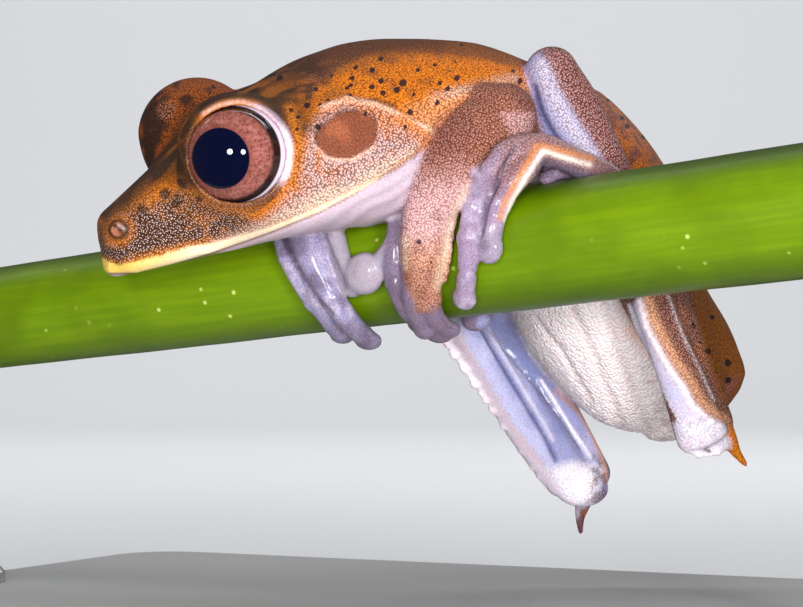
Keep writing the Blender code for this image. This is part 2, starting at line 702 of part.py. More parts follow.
FOOT_RIGHT = {
    "sole": ((4.4, -138, 2.1), (3.8, -120, 1.5), (2.8, -102, 1.3), (1.8, -88, 1.3)),
    "sole_sizes": [(1.5, 1.2), (1.8, 1.0), (2.2, 0.95), (2.2, 0.95)],
    "outer": ((4.0, -92, 1.1), (4.8, -74, 1.0), (5.4, -58, 0.95), (5.8, -42, 0.9)),
    "long": ((2.4, -84, 1.1), (2.6, -66, 1.1), (2.7, -48, 1.0), (2.8, -32, 0.9)),
    "middle": ((1.1, -80, 1.1), (0.2, -62, 1.0), (-0.3, -46, 0.9)),
    "inner": ((0.0, -88, 1.0), (-1.6, -78, 0.9), (-2.9, -68, 0.9)),
    "first": ((0.2, -102, 0.9), (-1.3, -100, 0.9), (-2.7, -98, 0.9)),
}


def make_foot_right():
    sole = [on_stem(*p) for p in FOOT_RIGHT["sole"]]
    foot = limb("foot_right", sole, FOOT_RIGHT["sole_sizes"], stem_axis)
    pieces = []
    pieces += digit(FOOT_RIGHT["outer"], 0.85, 1.15)
    pieces += digit(FOOT_RIGHT["long"], 0.9, 1.2)
    pieces += digit(FOOT_RIGHT["middle"], 0.8, 1.1)
    pieces += digit(FOOT_RIGHT["inner"], 0.75, 1.0)
    pieces += digit(FOOT_RIGHT["first"], 0.7, 0.95)
    pieces.append(web([(3.8, -92, 0.9), (4.2, -80, 0.8), (4.6, -70, 0.7)],
                      [(2.3, -88, 0.9), (2.5, -76, 0.8), (2.6, -66, 0.7)]))
    pieces.append(web([(2.3, -88, 0.9), (2.5, -76, 0.8), (2.6, -66, 0.7)],
                      [(1.2, -86, 0.9), (0.8, -74, 0.8), (0.5, -66, 0.7)]))
    return soften(fuse(foot, pieces), PAW_VOXEL, FOOT_TRIANGLES)


foot_left = make_foot_left()
foot_right = make_foot_right()

# Part the pieces: each is cut back from what it lies against
for piece in (hand_left, hand_right, foot_left, foot_right, forearm_left, forearm_right,
              upper_arm_left, upper_arm_right, thigh_left, thigh_right, shank_left, shank_right,
              tarsus_left, tarsus_right, chest, abdomen, head):
    cut(piece, stem_tube("stem_space", GAP))
clear(hand_right, hand_left)
clear(foot_left, hand_left)
clear(forearm_left, hand_left, foot_left)
clear(upper_arm_left, foot_left)
clear(forearm_right, hand_right)
clear(tarsus_left, foot_left)
clear(shank_left, foot_left, upper_arm_left, forearm_left)
clear(thigh_left, foot_left, tarsus_left, upper_arm_left)
clear(tarsus_right, foot_right)
clear(shank_right, foot_right, upper_arm_right)
clear(thigh_right, tarsus_right, upper_arm_right)
clear(head, upper_arm_left, forearm_left, hand_left, upper_arm_right, forearm_right, hand_right,
      foot_right)
clear(chest, upper_arm_left, forearm_left, upper_arm_right, forearm_right, shank_left, thigh_left,
      shank_right, thigh_right, foot_right, tarsus_right)
clear(abdomen, shank_left, thigh_left, tarsus_left, shank_right, thigh_right, tarsus_right, foot_right)

# Stand: a flat base and two rods up to the stem
part_turn = Matrix.Rotation(math.radians(STEM_TURN), 4, "Z")
base_maker = bmesh.new()
bmesh.ops.create_cube(base_maker, size=1.0)
for vert in base_maker.verts:
    vert.co = Vector((vert.co.x * BASE_LENGTH, vert.co.y * BASE_WIDTH,
                      (vert.co.z + 0.5) * BASE_THICKNESS - LIFT))
uprights = [e for e in base_maker.edges if abs(e.verts[0].co.z - e.verts[1].co.z) > 1.0]
bmesh.ops.bevel(base_maker, geom=uprights, offset=BASE_CORNER, segments=6, affect="EDGES", profile=0.5)
stand_base = new_object("stand_base", base_maker)
stand_base.data.transform(part_turn.inverted())
stand_base.data.transform(Matrix.Translation(part_turn.inverted() @ Vector((-1.0, 5.0, 0.0))))


def make_rod(name, along):
    """A rod from just above the base up to the stem's underside."""
    top = stem_middle + stem_axis * along
    bottom_height = BASE_THICKNESS - LIFT + GAP
    foot = Vector((top.x, top.y, bottom_height))
    stations = []
    for height in (bottom_height, top.z):
        stations.append((Vector((foot.x, foot.y, height)), (0, 0, 1), (0, 1, 0), ROD_RADIUS, ROD_RADIUS,
                         ROD_RADIUS, 2, 2))
    rod = loft(name, stations, sides=20, steps=1)
    return cut(rod, stem_tube("stem_space", GAP))


stand_rod_left = make_rod("stand_rod_left", ROD_PLACES[0])
stand_rod_right = make_rod("stand_rod_right", ROD_PLACES[1])

# Materials: colour, roughness, metallic
SKIN_ORANGE = (0.55, 0.26, 0.06)
SKIN_BROWN = (0.32, 0.17, 0.10)
SKIN_LILAC = (0.50, 0.46, 0.58)
BELLY_WHITE = (0.82, 0.76, 0.78)
COLOURS = {
    "head": (SKIN_ORANGE, 0.4, 0.0), "torso_front": (SKIN_ORANGE, 0.4, 0.0),
    "torso_rear": (BELLY_WHITE, 0.45, 0.0), "stem": ((0.20, 0.42, 0.02), 0.35, 0.0),
    "eye_left": ((0.25, 0.10, 0.07), 0.05, 0.0), "eye_right": ((0.25, 0.10, 0.07), 0.05, 0.0),
    "stand_base": ((0.05, 0.05, 0.055), 0.5, 0.0), "stand_rod": ((0.6, 0.6, 0.6), 0.3, 1.0),
    "hand": (SKIN_LILAC, 0.4, 0.0), "foot": (SKIN_LILAC, 0.4, 0.0), "tarsus": (SKIN_LILAC, 0.4, 0.0),
    "upper_arm": (SKIN_BROWN, 0.4, 0.0), "forearm": (SKIN_BROWN, 0.4, 0.0),
    "thigh": (SKIN_BROWN, 0.4, 0.0), "shank": (SKIN_BROWN, 0.4, 0.0),
}


def paint(thing):
    """Give the node a material of its own."""
    key = max((k for k in COLOURS if thing.name.startswith(k)), key=len)
    colour, roughness, metallic = COLOURS[key]
    material = bpy.data.materials.new(thing.name)
    material.use_nodes = True
    shader = material.node_tree.nodes["Principled BSDF"]
    shader.inputs["Base Color"].default_value = (*colour, 1.0)
    shader.inputs["Roughness"].default_value = roughness
    shader.inputs["Metallic"].default_value = metallic
    thing.data.materials.clear()
    thing.data.materials.append(material)


# Set every node in the part's frame, in metres
placing = Matrix.Scale(MM, 4) @ Matrix.Translation((0, 0, LIFT)) @ part_turn
for node in list(bpy.context.scene.objects):
    node.data.transform(placing)
    node.data.update()
    node.data.shade_smooth()
    node.data.set_sharp_from_angle(angle=math.radians(50))
    paint(node)
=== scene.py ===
"""Looks of a map tree frog that holds a green stem, life size, on a plain display stand.

Forms are worked out in the viewer's frame, in millimetres: x to the viewer's right, y away from
the viewer, z up, with the origin on the stem's axis below the frog's hands. Each finished piece
is turned and scaled into the part's frame. The frog's flesh is one skin, fused from its forms.
"""
import math

import bmesh
import bpy
import numpy as np
from mathutils import Matrix, Vector
from mathutils.bvhtree import BVHTree


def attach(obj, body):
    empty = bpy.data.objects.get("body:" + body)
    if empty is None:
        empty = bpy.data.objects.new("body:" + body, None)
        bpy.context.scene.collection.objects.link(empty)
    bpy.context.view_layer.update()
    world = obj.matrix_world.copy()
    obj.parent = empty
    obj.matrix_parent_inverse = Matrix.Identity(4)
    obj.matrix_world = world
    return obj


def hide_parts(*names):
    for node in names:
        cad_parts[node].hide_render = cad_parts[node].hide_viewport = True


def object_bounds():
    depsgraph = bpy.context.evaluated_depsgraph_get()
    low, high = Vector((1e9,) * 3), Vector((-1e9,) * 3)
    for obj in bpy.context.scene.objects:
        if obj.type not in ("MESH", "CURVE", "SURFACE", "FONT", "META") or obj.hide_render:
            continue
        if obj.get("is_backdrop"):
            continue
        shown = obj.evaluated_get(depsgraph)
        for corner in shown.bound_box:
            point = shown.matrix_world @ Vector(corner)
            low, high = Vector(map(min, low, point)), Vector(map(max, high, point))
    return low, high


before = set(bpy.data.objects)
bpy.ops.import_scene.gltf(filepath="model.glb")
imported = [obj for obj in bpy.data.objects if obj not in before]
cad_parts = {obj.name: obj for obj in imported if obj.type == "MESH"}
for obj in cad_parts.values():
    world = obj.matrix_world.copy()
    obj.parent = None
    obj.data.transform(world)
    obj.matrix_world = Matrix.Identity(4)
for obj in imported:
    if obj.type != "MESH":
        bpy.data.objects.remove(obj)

cad_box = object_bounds()

# Camera: level with the stem, where it shows the frog's left side and the hands over the stem.
# Studio: a plain pale paper sweep, two soft boxes beside the camera, a long low one, broad ones
# overhead and behind the frog, and one for the paper.
MM = 0.001
STEM_TURN = 27.0
LIFT = 27.5
VIEW_DISTANCE = 230.0
VIEW_WIDTH = 62.73
SENSOR = 36.0
PAPER = (0.72, 0.73, 0.75)
FRAME_WIDTH = 803
FRAME_HEIGHT = 607
SWEEP_HALF_WIDTH = 900.0
SWEEP_FRONT = -140.0
SWEEP_BACK = 420.0
SWEEP_RADIUS = 260.0
SWEEP_TOP = 900.0
PAPER_GAP = 0.03
PAPER_ROUGHNESS = 0.85
WORLD_COLOUR = (0.92, 0.95, 1.0, 1.0)
WORLD_STRENGTH = 0.13

stem_turn = Matrix.Rotation(math.radians(STEM_TURN), 4, "Z")
placing = Matrix.Scale(MM, 4) @ Matrix.Translation((0.0, 0.0, LIFT)) @ stem_turn
studio = bpy.context.scene


def aim(thing, spot, target):
    """Stand a lamp or camera at a spot of the viewer's frame, looking at a target."""
    start = placing @ Vector(spot)
    way = placing @ Vector(target) - start
    thing.matrix_world = Matrix.Translation(start) @ way.to_track_quat("-Z", "Y").to_matrix().to_4x4()
    studio.collection.objects.link(thing)


camera = bpy.data.objects.new("camera", bpy.data.cameras.new("camera"))
camera.data.sensor_width = SENSOR
camera.data.lens = SENSOR * VIEW_DISTANCE / VIEW_WIDTH
camera.data.clip_start = 0.01
camera.data.clip_end = 10.0
aim(camera, (0.0, -VIEW_DISTANCE, 0.0), (0.0, 0.0, 0.0))
studio.camera = camera
studio.view_settings.view_transform = "Standard"


def soft_box(name, spot, target, width, height, watts, glossy=True):
    """A soft lamp. One that isn't glossy is left out of the reflections in the wet skin."""
    lamp = bpy.data.lights.new(name, "AREA")
    lamp.shape = "ELLIPSE"
    lamp.size = width * MM
    lamp.size_y = height * MM
    lamp.energy = watts
    box = bpy.data.objects.new(name, lamp)
    box.visible_glossy = glossy
    aim(box, spot, target)


soft_box("box_left", (-42.0, -250.0, 29.0), (-4.0, 0.0, 2.0), 50.0, 50.0, 0.29)
soft_box("box_right", (84.0, -250.0, 29.0), (4.0, 0.0, 0.0), 50.0, 50.0, 0.26)
soft_box("box_low", (50.0, -230.0, -14.0), (14.0, 6.0, -8.0), 190.0, 26.0, 0.42, glossy=False)
soft_box("box_top", (-60.0, -120.0, 300.0), (0.0, 0.0, 0.0), 260.0, 200.0, 0.24, glossy=False)
soft_box("box_rear", (180.0, 240.0, 180.0), (0.0, 10.0, 0.0), 160.0, 160.0, 0.14)
soft_box("box_paper", (0.0, 200.0, 360.0), (0.0, 600.0, 40.0), 800.0, 200.0, 2.2)

world = bpy.data.worlds.new("studio")
world.use_nodes = True
sky = world.node_tree.nodes["Background"].inputs
sky["Color"].default_value = WORLD_COLOUR
sky["Strength"].default_value = WORLD_STRENGTH
studio.world = world

sweep = bmesh.new()
front_edge = [sweep.verts.new((x, SWEEP_FRONT, -LIFT - PAPER_GAP))
              for x in (-SWEEP_HALF_WIDTH, SWEEP_HALF_WIDTH)]


def drawn_out(edges, way):
    """Draw the sweep's edges out along a way, and give the new edges."""
    new = bmesh.ops.extrude_edge_only(sweep, edges=edges)["geom"]
    bmesh.ops.translate(sweep, verts=[v for v in new if isinstance(v, bmesh.types.BMVert)], vec=way)
    return [e for e in new if isinstance(e, bmesh.types.BMEdge)]


floor_edge = drawn_out([sweep.edges.new(front_edge)], (0.0, SWEEP_BACK - SWEEP_FRONT, 0.0))
curve = bmesh.ops.spin(sweep, geom=floor_edge, cent=(0.0, SWEEP_BACK, SWEEP_RADIUS - LIFT),
                       axis=(1.0, 0.0, 0.0), angle=math.radians(90.0), steps=24,
                       use_duplicate=False)["geom_last"]
drawn_out([e for e in curve if isinstance(e, bmesh.types.BMEdge)], (0.0, 0.0, SWEEP_TOP))
bmesh.ops.transform(sweep, matrix=placing, verts=sweep.verts)
sweep_mesh = bpy.data.meshes.new("paper_sweep")
sweep.to_mesh(sweep_mesh)
sweep.free()
sweep_mesh.shade_smooth()
paper_sweep = bpy.data.objects.new("paper_sweep", sweep_mesh)
studio.collection.objects.link(paper_sweep)
paper = bpy.data.materials.new("paper")
paper.use_nodes = True
paper_shader = paper.node_tree.nodes["Principled BSDF"].inputs
paper_shader["Base Color"].default_value = (*PAPER, 1.0)
paper_shader["Roughness"].default_value = PAPER_ROUGHNESS
sweep_mesh.materials.append(paper)
paper_sweep.visible_glossy = False
paper_sweep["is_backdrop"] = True

# Stem: a cut length of a living green stem, smooth and waxy, with faint lengthwise fibres and
# pale specks. It tapers towards the left and rises gently to the right.
STEM_RISE = 0.126
STEM_RADIUS = 4.61
STEM_TAPER = 0.0116
STEM_HEIGHT = 3.05
STEM_LEFT = -45.5
STEM_RIGHT = 40.0
STEM_SIDES = 96
CUT_ROUNDING = 0.25
DOME_TURNS = (20, 40, 58, 74, 84)

stem_axis = Vector((1.0, -math.tan(math.radians(STEM_TURN)), STEM_RISE)).normalized()
stem_up = (Vector((0.0, 0.0, 1.0)) - stem_axis * stem_axis.z).normalized()
stem_front = stem_axis.cross(stem_up)
stem_middle = Vector((0.0, 0.0, STEM_HEIGHT))


def stem_radius(along):
    return STEM_RADIUS + STEM_TAPER * (stem_middle + stem_axis * along).x


def stem_out(angle):
    """The direction straight out of the stem, at an angle from its top towards the viewer."""
    turn = math.radians(angle)
    return stem_up * math.cos(turn) + stem_front * math.sin(turn)


def on_stem(along, angle, height=0.0):
    """A point above the stem's skin."""
    return stem_middle + stem_axis * along + stem_out(angle) * (stem_radius(along) + height)


def flow(rows, steps):
    """Catmull-Rom rows between the given rows, each span cut into steps."""
    rows = np.array(rows, dtype=float)
    padded = np.vstack([2 * rows[0] - rows[1], rows, 2 * rows[-1] - rows[-2]])
    out = []
    for i in range(1, len(padded) - 2):
        a, b, c, d = padded[i - 1:i + 3]
        for k in range(steps):
            t = k / steps
            out.append(0.5 * (2 * b + (c - a) * t + (2 * a - 5 * b + 4 * c - d) * t * t
                              + (3 * b - a - 3 * c + d) * t ** 3))
    out.append(rows[-1])
    return out


def dome_row(row, reach, degrees):
    """A ring of a round end, shrunk and moved along the row's axis."""
    row = np.array(row)
    row[0:3] += row[3:6] / np.linalg.norm(row[3:6]) * reach * math.sin(math.radians(degrees))
    row[9:12] *= math.cos(math.radians(degrees))
    return row


def rings_of(stations, steps, start_dome, end_dome):
    """The rows of a loft's rings, with round ends where a dome's reach is given."""
    rings = flow([[*s[0], *s[1], *s[2], *s[3:]] for s in stations], steps)
    if start_dome:
        rings = [dome_row(rings[0], -start_dome, k) for k in reversed(DOME_TURNS)] + rings
    if end_dome:
        rings = rings + [dome_row(rings[-1], end_dome, k) for k in DOME_TURNS]
    return rings


def loft(stations, sides, steps, start_dome=0.0, end_dome=0.0):
    """A closed skin over stations: centre, axis, up, half width, top, under, top and under power.

    Each vertex keeps its place on the form: share of the length, and how far round it is.
    """
    rings = rings_of(stations, steps, start_dome, end_dome)
    maker = bmesh.new()
    spot = maker.verts.layers.float_vector.new("spot")
    loops = []
    for i, row in enumerate(rings):
        centre, axis, up = Vector(row[0:3]), Vector(row[3:6]).normalized(), Vector(row[6:9])
        up = (up - axis * up.dot(axis)).normalized()
        side = axis.cross(up)
        wide, top, under, top_power, under_power = row[9:14]
        circle = bmesh.ops.create_circle(maker, segments=sides, radius=1.0)["verts"]
        for vert in circle:
            c, s = vert.co.x, vert.co.y
            power = top_power if s > 0 else under_power
            across = math.copysign(abs(c) ** (2 / power), c) * wide
            rise = math.copysign(abs(s) ** (2 / power), s) * (top if s > 0 else under)
            vert.co = centre + side * across + up * rise
            vert[spot] = Vector((i / (len(rings) - 1), c, s))
        loops.append({e for v in circle for e in v.link_edges})
    for before, after in zip(loops, loops[1:]):
        bmesh.ops.bridge_loops(maker, edges=list(before | after))
    for end in (loops[0], loops[-1]):
        cap = bmesh.ops.holes_fill(maker, edges=list(end), sides=0)["faces"]
        share = cap[0].verts[0][spot].x
        for vert in bmesh.ops.poke(maker, faces=cap)["verts"]:
            vert[spot] = Vector((share, 0.0, 0.0))
    maker.normal_update()
    bmesh.ops.recalc_face_normals(maker, faces=maker.faces)
    return maker


def settle(name, maker, slot, *nodes):
    """A finished piece in the part's frame, in place of the nodes that it stands for."""
    bmesh.ops.transform(maker, matrix=placing, verts=maker.verts)
    mesh = bpy.data.meshes.new(name)
    maker.to_mesh(mesh)
    maker.free()
    mesh.shade_smooth()
    piece = bpy.data.objects.new(name, mesh)
    studio.collection.objects.link(piece)
    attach(piece, "root")
    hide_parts(*nodes)
    return piece


class Value:
    """A shader value: sums and products of it add Math nodes."""

    def __init__(self, finish, socket):
        self.finish = finish
        self.socket = socket

    def work(self, operation, first, second):
        return self.finish.node("ShaderNodeMath", {"operation": operation}, {0: first, 1: second})

    def __add__(self, other):
        return self.work("ADD", self, other)

    def __sub__(self, other):
        return self.work("SUBTRACT", self, other)

    def __rsub__(self, other):
        return self.work("SUBTRACT", other, self)

    def __mul__(self, other):
        return self.work("MULTIPLY", self, other)

    __radd__ = __add__
    __rmul__ = __mul__


class Finish:
    """A material in the making. node() makes any node: its settings first, then its sockets."""

    def __init__(self, name):
        self.material = bpy.data.materials.new(name)
        self.material.use_nodes = True
        self.tree = self.material.node_tree
        self.shader = self.tree.nodes["Principled BSDF"]

    def link(self, socket, value):
        if isinstance(value, Value):
            self.tree.links.new(value.socket, socket)
        else:
            socket.default_value = value

    def node(self, kind, settings, sockets, output=0):
        made = self.tree.nodes.new(kind)
        for key, value in settings.items():
            setattr(made, key, value)
        for key, value in sockets.items():
            self.link(made.inputs[key], value)
        return Value(self, made.outputs[output])

    def place(self):
        return self.node("ShaderNodeTexCoord", {}, {}, "Object")

    def parts(self, vector, axes="XYZ"):
        """The parts of a vector, one value for each letter."""
        return [self.node("ShaderNodeSeparateXYZ", {}, {0: vector}, axis) for axis in axes]

    def root(self, value):
        return self.node("ShaderNodeMath", {"operation": "SQRT"}, {0: value})

    def cloud(self, place, size, detail=3.0, roughness=0.55):
        """Noise with blotches of about the size, in millimetres."""
        return self.node("ShaderNodeTexNoise", {},
                         {"Vector": place, "Scale": 1.0 / (size * MM), "Detail": detail,
                          "Roughness": roughness})

    def cells(self, place, scale, randomness=1.0, dimensions="3D", output="Distance"):
        """How far a place is from the middle of its cell, or the cell's random colour."""
        return self.node("ShaderNodeTexVoronoi", {"voronoi_dimensions": dimensions},
                         {"Vector": place, "Scale": scale, "Randomness": randomness}, output)

    def ramp(self, value, low, high):
        """0 below low, 1 above high, smooth between, or the reverse where high is the lower."""
        return self.node("ShaderNodeMapRange", {"interpolation_type": "SMOOTHSTEP"},
                         {"Value": value, "From Min": low, "From Max": high})

    def mix(self, share, first, second, blend="MIX"):
        return self.node("ShaderNodeMix", {"data_type": "RGBA", "blend_type": blend},
                         {0: share, 6: colour(first), 7: colour(second)}, 2)

    def tinted(self, base, by):
        """A colour multiplied by another."""
        return self.mix(1.0, base, by, "MULTIPLY")

    def bump(self, height, depth):
        """A normal for bumps of a depth in millimetres."""
        return self.node("ShaderNodeBump", {}, {"Height": height, "Distance": depth * MM, "Strength": 1.0},
                         "Normal")

    def set(self, **sockets):
        names = {"base": "Base Color", "rough": "Roughness", "metal": "Metallic", "coat": "Coat Weight",
                 "coat_rough": "Coat Roughness", "under": "Subsurface Weight",
                 "under_radius": "Subsurface Radius", "under_scale": "Subsurface Scale",
                 "normal": "Normal", "gloss": "Specular IOR Level", "coat_ior": "Coat IOR"}
        for key, value in sockets.items():
            self.link(self.shader.inputs[names[key]], colour(value) if key == "base" else value)
        return self.material


def colour(value):
    """A colour of three numbers gets its alpha, and a link stays as it is."""
    return (*value, 1.0) if isinstance(value, tuple) and len(value) == 3 else value


STEM_GREEN = (0.128, 0.228, 0.0)
STEM_LIGHT = (0.160, 0.268, 0.0)
STEM_DARK = (0.088, 0.158, 0.0)
STEM_PAINTED_SHADE = (0.035, 0.075, 0.0)
STEM_SPECK = (0.50, 0.58, 0.14)
SPECK_SPACING = 1.9
FIBRE_STRETCH = 14.0


def stem_stations():
    stations = []
    for along in np.linspace(STEM_LEFT, STEM_RIGHT, 30):
        radius = stem_radius(along) + 0.02 * math.sin(along * 0.23) + 0.012 * math.sin(along * 0.71)
        stations.append((stem_middle + stem_axis * along, stem_axis, stem_up, radius, radius, radius, 2, 2))
    for end, way in ((0, -1), (-1, 1)):
        centre, axis, up, radius = stations[end][:4]
        rounded = radius - CUT_ROUNDING
        inner = centre - axis * way * CUT_ROUNDING
        stations[end] = (centre, axis, up, rounded, rounded, rounded, 2, 2)
        rim = (inner, axis, up, radius, radius, radius, 2, 2)
        stations.insert(1 if way < 0 else len(stations) - 1, rim)
    return stations


stem = settle("stem_skin", loft(stem_stations(), STEM_SIDES, 2), "stem", "stem")
wax = Finish("stem_wax")
stem_place = wax.node("ShaderNodeMapping", {"vector_type": "TEXTURE"},
                      {"Vector": wax.place(), "Rotation": (0.0, -math.asin(stem_axis.z), 0.0),
                       "Scale": (FIBRE_STRETCH, 1.0, 1.0)})
fibres = wax.cloud(stem_place, 0.5, 4.0)
clouds = wax.cloud(wax.place(), 9.0, 3.0)
specks = wax.ramp(wax.cells(wax.place(), 1.0 / (SPECK_SPACING * MM)), 0.13, 0.05)
green = wax.mix(wax.ramp(fibres, 0.35, 0.7), STEM_GREEN, STEM_LIGHT)
green = wax.mix(wax.ramp(clouds, 0.62, 0.30) * 0.8, green, STEM_DARK)
green = wax.mix(specks * wax.ramp(clouds, 0.45, 0.6), green, STEM_SPECK)
# Painted shade: the green darkens towards the stem's top and towards its underside.
height = wax.parts(stem_place, "Z")[0] - (LIFT + STEM_HEIGHT) * stem_up.z * MM
for low, high, share in ((0.60, 0.98, 0.8), (-0.45, -0.98, 0.55)):
    painted_shade = wax.ramp(height, low * STEM_RADIUS * MM, high * STEM_RADIUS * MM)
    green = wax.mix(painted_shade * share, green, STEM_PAINTED_SHADE)
stem.data.materials.append(wax.set(base=green, rough=0.36 + 0.12 * clouds, gloss=0.3, coat=0.08,
                                   coat_rough=0.2,
                                   under=0.15, under_radius=(0.5, 1.0, 0.2), under_scale=0.001,
                                   normal=wax.bump(fibres, 0.03)))

# Stand: a flat pale grey base with rounded edges, and two brushed steel rods set into it, each with
# a low collar, that carry the stem so that the hanging legs stay clear of the shelf.
BASE_SIZE = (88.0, 60.0, 4.0)
BASE_CENTRE = (-1.0, 5.0)
BASE_CORNER = 6.0
BASE_EDGE = 0.5
BASE_GREY = (0.50, 0.50, 0.50)
BASE_LIGHT = (0.56, 0.56, 0.56)
STEEL_DARK = (0.42, 0.42, 0.43)
STEEL_LIGHT = (0.66, 0.66, 0.66)
ROD_RADIUS = 1.5
ROD_PLACES = (-40.6, 35.4)
COLLAR_RADIUS = 2.5
COLLAR_HEIGHT = 1.3
unplaced = stem_turn.inverted()

base = bmesh.new()
bmesh.ops.create_cube(base, size=1.0)
bmesh.ops.scale(base, vec=BASE_SIZE, verts=base.verts)
bmesh.ops.translate(base, vec=(BASE_CENTRE[0], BASE_CENTRE[1], BASE_SIZE[2] / 2 - LIFT), verts=base.verts)
uprights = [e for e in base.edges if abs(e.verts[0].co.z - e.verts[1].co.z) > 1.0]
bmesh.ops.bevel(base, geom=uprights, offset=BASE_CORNER, segments=14, profile=0.5, affect="EDGES",
                material=-1)
rims = [e for e in base.edges if abs(e.calc_face_angle(0.0) - math.pi / 2) < 0.1]
bmesh.ops.bevel(base, geom=rims, offset=BASE_EDGE, segments=4, profile=0.5, affect="EDGES",
                material=-1)
bmesh.ops.transform(base, matrix=unplaced, verts=base.verts)
stand_plate = settle("stand_plate", base, "stand_base", "stand_base")
satin = Finish("satin_grey")
grain = satin.cloud(satin.place(), 0.25, 2.0)
stand_plate.data.materials.append(satin.set(base=satin.mix(grain, BASE_GREY, BASE_LIGHT),
                                            rough=0.34 + 0.18 * grain, normal=satin.bump(grain, 0.01)))
steel = Finish("brushed_steel")
lines = steel.node("ShaderNodeMapping", {}, {"Vector": steel.place(), "Scale": (0.6, 0.6, 8.0)})
brushed = steel.cloud(lines, 0.9, 4.0)
steel_finish = steel.set(base=steel.mix(brushed, STEEL_DARK, STEEL_LIGHT), metal=1.0,
                         rough=0.24 + 0.2 * brushed, normal=steel.bump(brushed, 0.004))
for label, along in (("left", ROD_PLACES[0]), ("right", ROD_PLACES[1])):
    top = stem_middle + stem_axis * along
    plate_top = BASE_SIZE[2] - LIFT
    profile = [(ROD_RADIUS + 0.6, plate_top), (COLLAR_RADIUS, plate_top),
               (COLLAR_RADIUS, plate_top + 0.9), (COLLAR_RADIUS - 0.35, plate_top + COLLAR_HEIGHT),
               (ROD_RADIUS, plate_top + COLLAR_HEIGHT + 0.05),
               (ROD_RADIUS, top.z - stem_radius(along) + 0.35)]
    rod = bmesh.new()
    points = [rod.verts.new((top.x + r, top.y, z)) for r, z in profile]
    outline = [rod.edges.new(pair) for pair in zip(points, points[1:])]
    bmesh.ops.spin(rod, geom=points + outline, cent=(top.x, top.y, 0.0), axis=(0, 0, 1),
                   angle=2 * math.pi, steps=40, use_merge=True, use_duplicate=False)
    bmesh.ops.remove_doubles(rod, verts=rod.verts, dist=0.001)
    bmesh.ops.holes_fill(rod, edges=[e for e in rod.edges if e.is_boundary], sides=0)
    bmesh.ops.recalc_face_normals(rod, faces=rod.faces)
    piece = settle("rod_" + label, rod, "stand_rod", "stand_rod_" + label)
    piece.data.set_sharp_from_angle(angle=math.radians(40))
    piece.data.materials.append(steel_finish)

# Head and trunk: one long form from the snout over the rump, narrow lips, flat crown, tall
# swellings over the eyes, hollow cheeks and a body that hangs behind the stem. Every form is
# fused into the skin further down, and each has a coat that colours and carves its share of it.
SNOUT = Vector((-22.97, -5.0, 4.85))
HEAD_YAW = 13.3
HEAD_PITCH = 20.1
HEAD_ROLL = 7.2
MOUTH_BELOW_SNOUT = 2.48
HEAD_SHAPE = (
    # back, half width, top, under, middle height, top power, under power
    (0.00, 1.60, 3.75, -0.20, 1.9, 2.4, 2.2),
    (0.45, 2.60, 4.25, -0.60, 1.3, 2.4, 2.2),
    (1.60, 3.70, 4.70, -0.85, 0.7, 2.3, 2.2),
    (4.60, 5.50, 5.95, -1.10, 0.4, 2.25, 2.2),
    (7.80, 7.10, 7.35, -1.28, 0.4, 2.2, 2.2),
    (11.0, 8.45, 8.60, -1.50, 0.5, 2.2, 2.3),
    (14.5, 9.60, 9.45, -2.00, 0.8, 2.2, 2.4),
    (18.5, 10.3, 9.95, -3.00, 1.4, 2.2, 2.3),
    (21.5, 10.4, 10.0, -3.75, 2.0, 2.1, 2.2),
    (23.8, 10.2, 9.90, -4.20, 2.5, 2.05, 2.1),
)
TRUNK_SHAPE = (
    # centre, up, half width, top, under
    ((1.6, 1.9, 13.9), (-0.16, -0.16, 0.97), 10.0, 7.0, 6.6),
    ((5.6, 4.3, 13.9), (-0.02, -0.12, 0.99), 9.7, 6.8, 6.6),
    ((10.4, 7.8, 12.0), (0.26, -0.02, 0.96), 9.9, 7.2, 7.4),
    ((15.0, 11.9, 7.0), (0.60, 0.12, 0.79), 9.9, 7.4, 8.6),
    ((18.8, 14.8, 0.4), (0.76, 0.30, 0.57), 8.2, 5.7, 9.2),
    ((22.3, 16.2, -5.0), (0.80, 0.36, 0.48), 5.8, 5.9, 8.0),
    ((24.3, 16.7, -8.0), (0.84, 0.38, 0.38), 3.7, 5.6, 5.2),
)
TIP_SWELLS = (
    # back, up, reach and push backwards: the lips' tip and the snout's tip
    (0.1, 0.55, 2.1, -0.75),
    (-0.1, 3.9, 2.4, 0.6),
)
TRUNK_SWELLS = (
    # where, reach and push: beside the knee, over the knee, and the back's line from nape to rump
    ((11.8, -2.4, 13.0), 6.0, (0.51, 1.7, 0.0)),
    ((11.4, -2.4, 15.4), 4.6, (0.44, 2.2, -0.22)),
    ((-6.0, 2.5, 19.3), 7.5, (0.0, 0.0, 0.55)),
    ((-10.6, 1.0, 18.0), 5.0, (0.0, 0.0, 0.15)),
    ((2.5, 5.0, 21.0), 6.0, (0.0, 0.0, -0.6)),
    ((9.8, 7.0, 20.5), 8.0, (0.0, 0.0, -1.75)),
)
SIDE_SWELLS = (
    # back, out, up, reach, push out and aside: behind the eye, over and in the cheek, nostril, nape
    (15.2, 6.6, 6.8, 4.6, 0.7, 0.0),
    (4.2, 4.3, 4.6, 3.0, 0.35, 0.0),
    (5.6, 6.2, 2.9, 3.2, 0.0, -0.55),
    (1.4, 2.4, 3.3, 1.8, 0.4, 0.0),
    (18.5, 9.3, 7.6, 3.4, 0.45, 0.0),
)
OUTWARD = (0.72, 0.69)
LID_SWELL = 2.3
LID_SWELL_REACH = 7.4
EYE_RADIUS = 4.05
EYE_PLACE = (10.7, 7.0, 6.1)
EYE_SIGHT = (-0.30, 0.93, 0.20)
LID_RADIUS = 4.5
BROW_HEIGHT = {-1: 6.1, 1: 6.75}
BROW_BACK = {-1: 11.1, 1: 10.7}
BROW_OUT = 6.1
EYE_GAP = 0.07
BROW_SIZE = (4.65, 4.5, 4.6)
OPENING_ANGLE = 59.0
